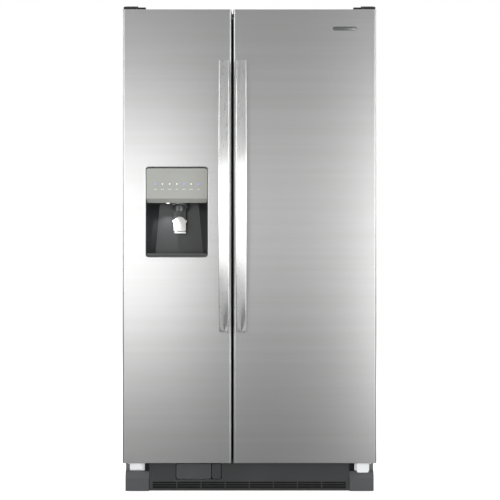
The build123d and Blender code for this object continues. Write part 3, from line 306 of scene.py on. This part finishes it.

# Louvre shade sheet. A sheet of black open foam behind the louvre, painted shade that keeps the louvre slot
# dark.
shade_foam, shade_foam_shader = new_material("black_foam_painted_shade", "#0E0E0F", Roughness=0.9)
pores_a_metre = 500
pores = add_node(shade_foam, "ShaderNodeTexVoronoi",
                 {"Vector": stretched(shade_foam, (pores_a_metre,) * 3).outputs[0], "Scale": 1.0})
tint(shade_foam, shade_foam_shader, pores.outputs["Distance"], "#080809", "#141415")
relief(shade_foam, shade_foam_shader, pores.outputs["Distance"], 0.8)
# the black foam sheet is painted shade behind the louvre slot
grille_low, grille_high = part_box("base_grille")
sheet_inset, sheet_front, sheet_back = 0.006, 0.0045, 0.0075
sheet_foot, sheet_top, sheet_edge = 0.004, 0.039, 0.0012
shade_sheet = bmesh.new()
add_box(shade_sheet, (grille_low.x + sheet_inset, grille_low.y + sheet_front, grille_low.z + sheet_foot),
        (grille_high.x - sheet_inset, grille_low.y + sheet_back, grille_low.z + sheet_top), sheet_edge, 2)
link_piece("louvre_shade_sheet", shade_sheet, [shade_foam], "cabinet")

# Filter shade frame. The same black foam is cut as a frame behind the cap and the button, painted shade that
# keeps the gaps around them dark. It clears the button's stem and presses 3 mm into the cartridge body above
# and below.
cap_low, cap_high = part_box("filter_cartridge")
key_low, key_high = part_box("eject_button")
key_middle = (key_low.x + key_high.x) / 2
frame_y = cap_low.y + 0.0168
frame_thick, frame_edge = 0.0012, 0.0003
margin, band, side_band, stem_half = 0.004, 0.007, 0.02, 0.008
# black foam frame: painted shade in the gaps around the cap and the button
shade_frame_form = bmesh.new()
for x0, x1, z0, z1 in ((cap_low.x - margin, key_high.x + margin, key_low.z - margin, key_low.z + band),
                       (cap_low.x - margin, key_high.x + margin, key_high.z - band, key_high.z + margin),
                       (cap_low.x - margin, cap_low.x + side_band, key_low.z, key_high.z),
                       (cap_high.x - side_band, key_middle - stem_half, key_low.z, key_high.z),
                       (key_middle + stem_half, key_high.x + margin, key_low.z, key_high.z)):
    add_box(shade_frame_form, (x0, frame_y, z0), (x1, frame_y + frame_thick, z1), frame_edge, 1)
link_piece("filter_shade_frame", shade_frame_form, [shade_foam], "cabinet")

# Roof fittings. Zinc hinge plates held by hex flange screws under black snap-on covers.
dress("upper_hinges", zinc)
dress("hinge_screws", zinc)
dress("hinge_covers", moulding("black_hinge_cover_abs", "#1C1D1E", "#222324", 0.42, 0.5, 0.03))

# Machine compartment. Black enamelled compressor pot, aluminium fins on steel tube, moulded fans, a
# white drain pan and the slotted rear cover with its row of hex screws.
def row_of_rods(name, material, body, count, start, step, radius, length, turn, sides=10):
    """Geometry Nodes row of equal rods or screw heads, made into a plain mesh."""
    tree = bpy.data.node_groups.new(name + "_row", "GeometryNodeTree")
    wanted = (("Count", "NodeSocketInt", count), ("Start", "NodeSocketVector", start),
              ("Step", "NodeSocketVector", step), ("Radius", "NodeSocketFloat", radius),
              ("Length", "NodeSocketFloat", length), ("Turn", "NodeSocketVector", turn),
              ("Sides", "NodeSocketInt", sides), ("Material", "NodeSocketMaterial", material))
    tree.interface.new_socket("Geometry", in_out="OUTPUT", socket_type="NodeSocketGeometry")
    keys = {word: tree.interface.new_socket(word, in_out="INPUT", socket_type=kind).identifier
            for word, kind, _ in wanted}
    nodes_of = tree.nodes
    given = nodes_of.new("NodeGroupInput")
    line = nodes_of.new("GeometryNodeMeshLine")
    rod = nodes_of.new("GeometryNodeMeshCylinder")
    put = nodes_of.new("GeometryNodeInstanceOnPoints")
    real = nodes_of.new("GeometryNodeRealizeInstances")
    dressed = nodes_of.new("GeometryNodeSetMaterial")
    end = nodes_of.new("NodeGroupOutput")
    for source, target in (((given, "Count"), (line, "Count")), ((given, "Start"), (line, "Start Location")),
                           ((given, "Step"), (line, "Offset")), ((given, "Radius"), (rod, "Radius")),
                           ((given, "Length"), (rod, "Depth")), ((given, "Sides"), (rod, "Vertices")),
                           ((line, "Mesh"), (put, "Points")), ((rod, "Mesh"), (put, "Instance")),
                           ((given, "Turn"), (put, "Rotation")), ((put, "Instances"), (real, "Geometry")),
                           ((real, "Geometry"), (dressed, "Geometry")),
                           ((given, "Material"), (dressed, "Material")),
                           ((dressed, "Geometry"), (end, "Geometry"))):
        tree.links.new(source[0].outputs[source[1]], target[0].inputs[target[1]])
    carrier = bpy.data.objects.new(name + "_carrier", bpy.data.meshes.new(name + "_carrier"))
    bpy.context.collection.objects.link(carrier)
    repeat = carrier.modifiers.new("row", "NODES")
    repeat.node_group = tree
    for word, _, value in wanted:
        repeat[keys[word]] = value
    carrier.update_tag()
    graph = bpy.context.evaluated_depsgraph_get()
    mesh = bpy.data.meshes.new_from_object(carrier.evaluated_get(graph), depsgraph=graph)
    carrier.modifiers.remove(repeat)
    bpy.data.objects.remove(carrier)
    mesh.name = name
    mesh.shade_smooth()
    mesh.set_sharp_from_angle(angle=math.radians(40))
    piece = bpy.data.objects.new(name, mesh)
    bpy.context.collection.objects.link(piece)
    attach(piece, body)
    return piece


dress("compressor", coated_metal("black_enamel", "#101112", "#17181A", 0.3, 2.2, 0.02))
fins = coated_metal("aluminium_fin_stock", "#B9BBBC", "#C4C6C7", 0.32, 3.0, 0.004, metallic=1.0)
dress("condenser", fins)
dress("evaporator", fins)
fan_plastic = moulding("black_glass_filled_nylon", "#191A1B", "#202122", 0.48, 0.7, 0.02)
for fan in ("condenser_fan", "evaporator_fan", "power_inlet", "water_valve"):
    dress(fan, fan_plastic)
dress("drain_pan", white_styrene)
dress("machine_cover", galvanised)
cover_low, cover_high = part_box("machine_cover")
screw_count = 7
screw_inset, screw_seat = 0.012, 0.0018
screw_radius, screw_height = 0.0048, 0.0036
screw_step = (cover_high.x - cover_low.x - 2 * screw_inset) / (screw_count - 1)
for word, level in (("top", cover_high.z - screw_inset), ("bottom", cover_low.z + screw_inset)):
    row_of_rods("cover_screws_" + word, zinc, "cabinet", screw_count,
                (cover_low.x + screw_inset, cover_high.y + screw_seat, level), (screw_step, 0, 0),
                screw_radius, screw_height, (math.radians(90), 0, 0), sides=6)

# Back panel screws. The same hex screws hold the flat back along its two long edges.
panel_low, panel_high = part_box("back_panel")
edge_count, edge_start, edge_step = 9, 0.05, 0.165
for word, x in (("left", panel_low.x + screw_inset), ("right", panel_high.x - screw_inset)):
    row_of_rods("panel_screws_" + word, zinc, "cabinet", edge_count,
                (x, panel_high.y + screw_seat, panel_low.z + edge_start), (0, 0, edge_step),
                screw_radius, screw_height, (math.radians(90), 0, 0), sides=6)

# Freezer inside. White evaporator panel and ice maker, a wire stop arm and white coated wire shelves:
# each shelf is a heavy frame with thinner wires welded across it.
def loose_boxes(node):
    """Lowest and highest corner of each separate solid in a CAD node."""
    form = bmesh.new()
    form.from_mesh(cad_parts[node].data)
    bmesh.ops.remove_doubles(form, verts=form.verts, dist=1e-6)
    boxes, seen = [], set()
    for start in form.verts:
        if start in seen:
            continue
        group, queue = [], [start]
        seen.add(start)
        while queue:
            vert = queue.pop()
            group.append(vert.co.copy())
            for edge in vert.link_edges:
                other = edge.other_vert(vert)
                if other not in seen:
                    seen.add(other)
                    queue.append(other)
        boxes.append((Vector(min(c[i] for c in group) for i in range(3)),
                      Vector(max(c[i] for c in group) for i in range(3))))
    form.free()
    return boxes


dress("evaporator_cover", white_styrene)
dress("ice_maker", moulding("white_moulded_acetal", "#E1E2E0", "#E8E9E7", 0.34, 0.7, 0.01))
wire_coat = coated_metal("white_epoxy_wire_coat", "#DFE0DE", "#E8E8E6", 0.3, 1.4, 0.008)
dress("ice_maker_arm", wire_coat)
shelf_boxes = sorted(loose_boxes("freezer_shelves"), key=lambda pair: pair[0].z)
shelf_frame = bmesh.new()
front_bar, rim, lap, wire_edge = 0.008, 0.006, 0.004, 0.0028
for low, high in shelf_boxes:
    deep, top = low.z + lap, high.z - lap
    add_box(shelf_frame, (low.x, low.y, low.z), (high.x, low.y + front_bar, high.z), wire_edge, 3)
    add_box(shelf_frame, (low.x, high.y - rim, deep), (high.x, high.y, top), wire_edge, 3)
    add_box(shelf_frame, (low.x, low.y + rim, deep), (low.x + rim, high.y - lap, top), wire_edge, 3)
    add_box(shelf_frame, (high.x - rim, low.y + rim, deep), (high.x, high.y - lap, top), wire_edge, 3)
link_piece("freezer_shelf_frames", shelf_frame, [wire_coat], "cabinet", ("freezer_shelves",))
wires, wire_radius, wire_short = 21, 0.0017, 0.008
for number, (low, high) in enumerate(shelf_boxes):
    gap = (high.x - low.x) / (wires + 1)
    row_of_rods(f"freezer_shelf_wires_{number + 1}", wire_coat, "cabinet", wires,
                (low.x + gap, (low.y + high.y) / 2, (low.z + high.z) / 2), (gap, 0, 0),
                wire_radius, high.y - low.y - wire_short, (math.radians(90), 0, 0))

# Fridge shelves. Tempered glass panes bonded into white rims, on cantilever brackets that hook into
# two slotted steel tracks on the back wall.
def add_prism(form, outline, axis, start, end, radius=0.0, segments=2):
    """A closed outline pushed along an axis, with the edges of both ends rounded."""
    def place(a, b, c):
        return {"x": (c, a, b), "y": (a, c, b), "z": (a, b, c)}[axis]
    near = [form.verts.new(place(a, b, start)) for a, b in outline]
    far = [form.verts.new(place(a, b, end)) for a, b in outline]
    count = len(outline)
    faces = [form.faces.new(near), form.faces.new(list(reversed(far)))]
    caps = list(faces)
    for i in range(count):
        j = (i + 1) % count
        faces.append(form.faces.new((near[i], far[i], far[j], near[j])))
    bmesh.ops.recalc_face_normals(form, faces=faces)
    if radius:
        edges = {edge for face in caps for edge in face.edges}
        bmesh.ops.bevel(form, geom=list(edges), offset=radius, segments=segments, profile=0.5,
                        affect="EDGES", clamp_overlap=True)


glass, glass_shader = new_material("tempered_shelf_glass", "#E4F2EC", Roughness=0.03,
                                   Transmission_Weight=0.95, IOR=1.5)
ripple = add_node(glass, "ShaderNodeTexNoise",
                  {"Vector": stretched(glass, (6, 6, 6)).outputs[0], "Scale": 1.0})
tint(glass, glass_shader, ripple.outputs["Fac"], "#DDEFE7", "#E8F4EF")
relief(glass, glass_shader, ripple.outputs["Fac"], 0.05)
solids = loose_boxes("fridge_shelves")
widest_track = 0.2
glass_shelves = [pair for pair in solids if pair[1].x - pair[0].x > widest_track]
tracks = [pair for pair in solids if pair[1].x - pair[0].x <= widest_track]
panes, rims, rails = bmesh.new(), bmesh.new(), bmesh.new()
edge, corner_lap, rim_radius = 0.0145, 0.003, 0.003
pane_under, pane_below_rim, pane_radius = 0.0045, 0.0005, 0.0012
for low, high in glass_shelves:
    add_box(panes, (low.x + edge, low.y + edge, high.z - pane_under),
            (high.x - edge, high.y - edge, high.z - pane_below_rim), pane_radius, 2)
    side_front, side_back = low.y + edge - corner_lap, high.y - edge + corner_lap
    for x0, y0, x1, y1 in ((low.x, low.y, high.x, low.y + edge), (low.x, high.y - edge, high.x, high.y),
                           (low.x, side_front, low.x + edge, side_back),
                           (high.x - edge, side_front, high.x, side_back)):
        add_box(rims, (x0, y0, low.z), (x1, y1, high.z), rim_radius, 3)
track_deep, hook_lap, track_radius = 0.012, 0.001, 0.0012
arm_root, arm_tip, arm_half, arm_radius = 0.02, 0.007, 0.002, 0.0005
for low, high in tracks:
    back = high.y - track_deep
    middle = (low.x + high.x) / 2
    add_box(rails, (low.x, back, low.z), (high.x, high.y, high.z), track_radius, 2)
    for shelf_low, _ in glass_shelves:
        top = shelf_low.z
        arm = [(back + hook_lap, top - arm_root), (back + hook_lap, top),
               (low.y, top), (low.y, top - arm_tip)]
        add_prism(rails, arm, "x", middle - arm_half, middle + arm_half, arm_radius, 1)
link_piece("shelf_glass_panes", panes, [glass], "cabinet", ("fridge_shelves",))
link_piece("shelf_rims", rims, [white_styrene], "cabinet", ("fridge_shelves",))
link_piece("shelf_tracks", rails, [wire_coat], "cabinet", ("fridge_shelves",))

# Clear mouldings. Door bins, the dairy lid, the drawers and the ice bucket are clear injected styrene
# with rounded rims and a faint blue cast in the thick edges.
clear, clear_shader = new_material("clear_injected_styrene", "#E8F0F4", Roughness=0.06,
                                   Transmission_Weight=0.9, IOR=1.57)
flow_marks = add_node(clear, "ShaderNodeTexNoise",
                      {"Vector": stretched(clear, (9, 9, 5)).outputs[0], "Scale": 1.0})
tint(clear, clear_shader, flow_marks.outputs["Fac"], "#DFEAF0", "#F0F5F7")
vary(clear, clear_shader, "Roughness", flow_marks.outputs["Fac"], 0.04, 0.1)
relief(clear, clear_shader, flow_marks.outputs["Fac"], 0.08)
for vessel in ("freezer_bins", "fridge_bins", "dairy_lid", "freezer_basket_lower", "freezer_basket_upper",
               "crisper_drawer", "deli_drawer", "ice_bucket"):
    dress(vessel, clear)

# Inside lamps. A frosted lens clipped under the roof of each compartment, behind the door opening.
def round_outline(x0, x1, z0, z1, radius, steps=6):
    """Corners of a rounded rectangle, in order."""
    points = []
    for cx, cz, first in ((x1 - radius, z1 - radius, 0), (x0 + radius, z1 - radius, 90),
                          (x0 + radius, z0 + radius, 180), (x1 - radius, z0 + radius, 270)):
        for step in range(steps + 1):
            turn = math.radians(first + 90 * step / steps)
            points.append((cx + radius * math.cos(turn), cz + radius * math.sin(turn)))
    return points


lens, lens_shader = new_material("frosted_lamp_lens", "#F6F4EA", Roughness=0.35, Transmission_Weight=0.3)
frost = add_node(lens, "ShaderNodeTexNoise", {"Vector": stretched(lens, (900,) * 3).outputs[0], "Scale": 1.0})
tint(lens, lens_shader, frost.outputs["Fac"], "#F1EFE4", "#FAF9F2")
relief(lens, lens_shader, frost.outputs["Fac"], 0.05)
lens_half, lens_front, lens_rear, lens_corner = 0.06, 0.045, 0.085, 0.012
lens_drop, lens_edge = 0.013, 0.004
for word in ("freezer", "fridge"):
    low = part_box(word + "_liner")[0]
    bay_low, bay_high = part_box("evaporator_cover") if word == "freezer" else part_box("crisper_drawer")
    middle = (bay_low.x + bay_high.x) / 2
    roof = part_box("evaporator_cover")[1].z
    lamp = bmesh.new()
    lamp_line = round_outline(middle - lens_half, middle + lens_half,
                              low.y + lens_front, low.y + lens_rear, lens_corner)
    add_prism(lamp, lamp_line, "z", roof - lens_drop, roof, lens_edge, 3)
    link_piece(word + "_lamp", lamp, [lens], "cabinet")

# Door seals. Extruded grey magnetic rubber with fine ribs along each run.
rubber, rubber_shader = new_material("extruded_seal_rubber", "#8E9092", Roughness=0.6)
ribs = add_node(rubber, "ShaderNodeTexWave",
                {"Vector": stretched(rubber, (1, 330, 1)).outputs[0], "Scale": 1.0, "Distortion": 0.4},
                bands_direction="Y")
tint(rubber, rubber_shader, ribs.outputs["Fac"], "#85878A", "#929497")
relief(rubber, rubber_shader, ribs.outputs["Fac"], 0.25)
for seal in ("freezer_gasket", "fridge_gasket"):
    dress(seal, rubber)

# Door skins. Folded 430 stainless sheet, brushed along the width and clear coated: fine level lines
# that stretch a highlight upwards and downwards.
def brushed_steel(name, light, dark, along, rough_low, rough_high, streak=0.55):
    material, shader = new_material(name, light, Metallic=1.0, Anisotropic=streak,
                                    Anisotropic_Rotation={"x": 0.25, "z": 0.0}[along])
    lines = {"x": (4, 4, 420), "z": (420, 420, 4)}[along]
    bands = {"x": (1.2, 1.2, 60), "z": (60, 60, 1.2)}[along]
    fine = add_node(material, "ShaderNodeTexNoise",
                    {"Vector": stretched(material, lines).outputs[0], "Scale": 1.0, "Detail": 3.0})
    broad = add_node(material, "ShaderNodeTexNoise",
                     {"Vector": stretched(material, bands).outputs[0], "Scale": 1.0, "Detail": 2.0})
    tint(material, shader, broad.outputs["Fac"], dark, light)
    vary(material, shader, "Roughness", fine.outputs["Fac"], rough_low, rough_high)
    relief(material, shader, fine.outputs["Fac"], 0.01, 0.25)
    tangent = add_node(material, "ShaderNodeTangent", direction_type="RADIAL", axis="Z")
    material.node_tree.links.new(tangent.outputs["Tangent"], shader.inputs["Tangent"])
    return material


door_steel = brushed_steel("brushed_430_stainless", "#D2D3D2", "#CFCFCE", "x", 0.315, 0.345)
for door_skin in ("freezer_door_skin", "fridge_door_skin"):
    dress(door_skin, door_steel)

# Handles. Solid looking bowed bars in the same steel, brushed along their length and smoother, with a lighter
# colour than the doors as painted sheen.
# the lighter colour of the handle steel is painted sheen
handle_steel = brushed_steel("bar_stainless_painted_sheen", "#EDEDEC", "#E6E6E5", "z", 0.27, 0.31, 0.9)
for bar in ("freezer_handle", "fridge_handle"):
    dress(bar, handle_steel)

# Dispenser tub. Charcoal gloss moulding set in the freezer door behind a thin satin metal rim, with a
# lift-out ribbed tray on its floor and a smoked chute above.
dress("dispenser_housing", moulding("charcoal_gloss_tub", "#232425", "#2A2B2C", 0.3, 0.9, 0.006))
dress("drip_tray", moulding("charcoal_tray", "#2C2D2E", "#323334", 0.34, 0.6, 0.012))
smoked = moulding("smoked_chute_plastic", "#4B4C4D", "#555657", 0.16, 0.9, 0.004, Transmission_Weight=0.35)
dress("ice_chute", smoked)
dress("chute_flap", smoked)
tub_low, tub_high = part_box("dispenser_housing")
rim_metal = brushed_steel("satin_rim_metal", "#C6C7C7", "#BDBEBE", "z", 0.26, 0.34)
rim_form = bmesh.new()
rim_width, rim_proud, rim_corner = 0.0016, 0.0009, 0.012
rim_inside, rim_sunk, rim_tail = 0.001, 0.0004, 0.003
outer_line = round_outline(tub_low.x - rim_width, tub_high.x + rim_width, tub_low.z - rim_width,
                           tub_high.z + rim_width, rim_corner + rim_width)
inner_line = round_outline(tub_low.x + rim_inside, tub_high.x - rim_inside, tub_low.z + rim_inside,
                           tub_high.z - rim_inside, rim_corner - rim_inside)
rim_levels = ((outer_line, door_face + rim_sunk), (outer_line, door_face - rim_proud * 0.5),
              (inner_line, door_face - rim_proud), (inner_line, door_face + rim_tail))
rings = [[rim_form.verts.new((x, y, z)) for x, z in line] for line, y in rim_levels]
for ring_number in range(4):
    first, second = rings[ring_number], rings[(ring_number + 1) % 4]
    for i in range(len(first)):
        j = (i + 1) % len(first)
        rim_form.faces.new((first[i], first[j], second[j], second[i]))
link_piece("dispenser_rim", rim_form, [rim_metal], "freezer_door")

# Touch panel. Warm grey painted plate with seven small lenses: three blue lit lamps and four unlit ones
# given a painted glow, and a pale printed dash under each in place of words, with a faint painted glow.
panel_paint = moulding("warm_grey_panel_paint", "#8F908B", "#969792", 0.36, 0.4, 0.004, Metallic=0.35)
dress("control_panel", panel_paint)
plate_low, plate_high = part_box("control_panel")
plate_middle = (plate_low.x + plate_high.x) / 2
lamp_row = plate_low.z + 0.067
dash_row = plate_low.z + 0.048
lamp_step, lamp_count, blue_places = 0.0256, 7, (0, 4, 6)
lamp_half, lamp_corner, lamp_proud, lamp_sunk, lamp_edge = 0.0021, 0.0019, 0.0004, 0.0008, 0.0003
dash_short, dash_more = 0.0045, 0.0012
dash_half, dash_corner, dash_proud, dash_sunk = 0.0009, 0.0008, 0.0001, 0.0006


def lamp_or_painted_glow(name, first, second, glow):
    """A small lens lit from behind, with a soft grain; also used to give unlit lenses and printed marks a
    painted glow.
    """
    material, shader = new_material(name, first, Roughness=0.3)
    grain = add_node(material, "ShaderNodeTexNoise",
                     {"Vector": stretched(material, (1600,) * 3).outputs[0], "Scale": 1.0})
    tint(material, shader, grain.outputs["Fac"], first, second)
    shader.inputs["Emission Color"].default_value = linear(first)
    shader.inputs["Emission Strength"].default_value = glow
    return material


blue_lamp = lamp_or_painted_glow("blue_lamp_lens", "#6A74F2", "#7C86FF", 0.9)
# four unlit indicator lenses, given a painted glow
unlit_glow_lens = lamp_or_painted_glow("unlit_lens_painted_glow", "#D9DAD6", "#E6E7E3", 0.35)
# printed dashes, given a faint painted glow
dash_print = lamp_or_painted_glow("printed_dash_painted_glow", "#BDBEBA", "#C6C7C3", 0.05)
blue_form, pale_form, dash_form = bmesh.new(), bmesh.new(), bmesh.new()
for number in range(lamp_count):
    x = plate_middle + (number - lamp_count // 2) * lamp_step
    form = blue_form if number in blue_places else pale_form
    lamp_line = round_outline(x - lamp_half, x + lamp_half, lamp_row - lamp_half, lamp_row + lamp_half,
                              lamp_corner, 4)
    add_prism(form, lamp_line, "y", plate_low.y - lamp_proud, plate_low.y + lamp_sunk, lamp_edge, 2)
    reach_x = dash_short + dash_more * (number % 3)
    dash_line = round_outline(x - reach_x, x + reach_x, dash_row - dash_half, dash_row + dash_half,
                              dash_corner, 3)
    add_prism(dash_form, dash_line, "y", plate_low.y - dash_proud, plate_low.y + dash_sunk)
link_piece("panel_lamps_blue", blue_form, [blue_lamp], "freezer_door")
link_piece("panel_lenses_painted_glow", pale_form, [unlit_glow_lens], "freezer_door")
link_piece("panel_dashes", dash_form, [dash_print], "freezer_door")

# Lever. A dark arm on its cross shaft carries a light grey paddle with a domed top, two ears and a lip
# at the bottom, moulded in one and pressed in by the rim of a glass.
def arc_points(across, up, radius, degrees):
    """Points of a circle, or of part of one, about a centre."""
    return [(across + radius * math.cos(math.radians(turn)), up + radius * math.sin(math.radians(turn)))
            for turn in degrees]


lever_low, lever_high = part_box("dispenser_lever")
lever_x = (lever_low.x + lever_high.x) / 2
shaft_radius = 0.004
pivot_z = lever_high.z - shaft_radius
lever_y = lever_high.y - shaft_radius
foot_z = lever_low.z
arm_half, arm_half_thick, arm_foot, arm_edge = 0.022, 0.002, 0.05, 0.0012
paddle_grey = moulding("light_grey_paddle_abs", "#B4B5B3", "#BCBDBB", 0.26, 0.8, 0.006)
arm_black = moulding("dark_arm_abs", "#2B2C2D", "#313233", 0.36, 0.6, 0.01)
arm_form, paddle_form = bmesh.new(), bmesh.new()
add_box(arm_form, (lever_x - arm_half, lever_y - arm_half_thick, foot_z + arm_foot),
        (lever_x + arm_half, lever_y + arm_half_thick, pivot_z), arm_edge, 2)
shaft_line = arc_points(lever_y, pivot_z, shaft_radius, range(0, 360, 20))
add_prism(arm_form, shaft_line, "x", lever_low.x, lever_high.x, 0.0006, 2)
half_body, dome_level, chamfer = 0.0225, 0.0395, 0.003
body_foot, chamfer_foot = 0.012, 0.0095
dome = arc_points(lever_x, foot_z + dome_level, half_body, range(0, 181, 12))
body_line = dome + [(lever_x - half_body, foot_z + body_foot),
                    (lever_x - half_body + chamfer, foot_z + chamfer_foot),
                    (lever_x + half_body - chamfer, foot_z + chamfer_foot),
                    (lever_x + half_body, foot_z + body_foot)]
ear_reach, ear_low, ear_high, ear_corner = 0.0262, 0.039, 0.050, 0.0045
ear_line = round_outline(lever_x - ear_reach, lever_x + ear_reach,
                         foot_z + ear_low, foot_z + ear_high, ear_corner)
lip_left, lip_right, lip_high, lip_corner = half_body - 0.003, half_body + 0.0005, 0.0075, 0.003
lip_line = round_outline(lever_x - lip_left, lever_x + lip_right, foot_z, foot_z + lip_high, lip_corner)
pad_half, pad_low, pad_high, pad_corner = 0.012, 0.018, 0.046, 0.006
pad_line = round_outline(lever_x - pad_half, lever_x + pad_half,
                         foot_z + pad_low, foot_z + pad_high, pad_corner)
for line, front, back, rounding in ((body_line, 0.0068, 0.002, 0.0018), (ear_line, 0.0055, 0.0018, 0.0014),
                                    (lip_line, 0.0088, 0.0018, 0.0016), (pad_line, 0.0078, 0.006, 0.0012)):
    add_prism(paddle_form, line, "y", lever_y - front, lever_y - back, rounding, 3)
link_piece("lever_arm", arm_form, [arm_black], "dispenser_lever", ("dispenser_lever",))
link_piece("lever_paddle", paddle_form, [paddle_grey], "dispenser_lever", ("dispenser_lever",))

# Niche lamp. A small white lens in the roof of the tub, to the left of the spout.
niche_lens = lamp_or_painted_glow("niche_lamp_lens", "#F4F4EE", "#FFFFFF", 1.6)
lens_form = bmesh.new()
lens_x = lever_x - 0.0385
lens_radius, lens_y, lens_round, lens_edge = 0.006, door_face + 0.028, 0.005, 0.001
lens_below, lens_above = 0.0015, 0.0045
lens_line = round_outline(lens_x - lens_radius, lens_x + lens_radius, lens_y - lens_radius,
                          lens_y + lens_radius, lens_round)
add_prism(lens_form, lens_line, "z", plate_low.z - lens_below, plate_low.z + lens_above, lens_edge, 2)
link_piece("niche_lamp", lens_form, [niche_lens], "freezer_door")

niche_spot = bpy.data.lights.new("niche_spot", "SPOT")
niche_spot.energy, niche_spot.spot_size, niche_spot.spot_blend = 1.6, math.radians(75), 0.7
niche_spot.shadow_soft_size = 0.004
spot = bpy.data.objects.new("niche_spot", niche_spot)
spot.location = (lens_x - 0.004, door_face + 0.03, plate_low.z - 0.01)
spot_aim = Vector((lens_x - 0.012, tub_high.y, tub_low.z + 0.05)) - spot.location
spot.rotation_euler = spot_aim.to_track_quat("-Z", "Y").to_euler()
bpy.context.collection.objects.link(spot)

# Badge. A plain pressed metal bar stuck to the fridge door near its top outer corner, with no lettering.
badge_metal = brushed_steel("pressed_badge_metal", "#9C9D9E", "#949596", "x", 0.2, 0.28)
skin_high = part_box("fridge_door_skin")[1]
badge_x, badge_z = skin_high.x - 0.114, skin_high.z - 0.069
badge_form = bmesh.new()
bar_half, bar_half_high, bar_corner = 0.043, 0.007, 0.0065
rib_half, rib_half_high, rib_corner = 0.038, 0.0022, 0.002
bar_line = round_outline(badge_x - bar_half, badge_x + bar_half,
                         badge_z - bar_half_high, badge_z + bar_half_high, bar_corner)
rib_line = round_outline(badge_x - rib_half, badge_x + rib_half,
                         badge_z - rib_half_high, badge_z + rib_half_high, rib_corner)
add_prism(badge_form, bar_line, "y", door_face - 0.0018, door_face + 0.0004, 0.0009, 3)
add_prism(badge_form, rib_line, "y", door_face - 0.0026, door_face - 0.0012, 0.0005, 2)
link_piece("door_badge", badge_form, [badge_metal], "fridge_door")
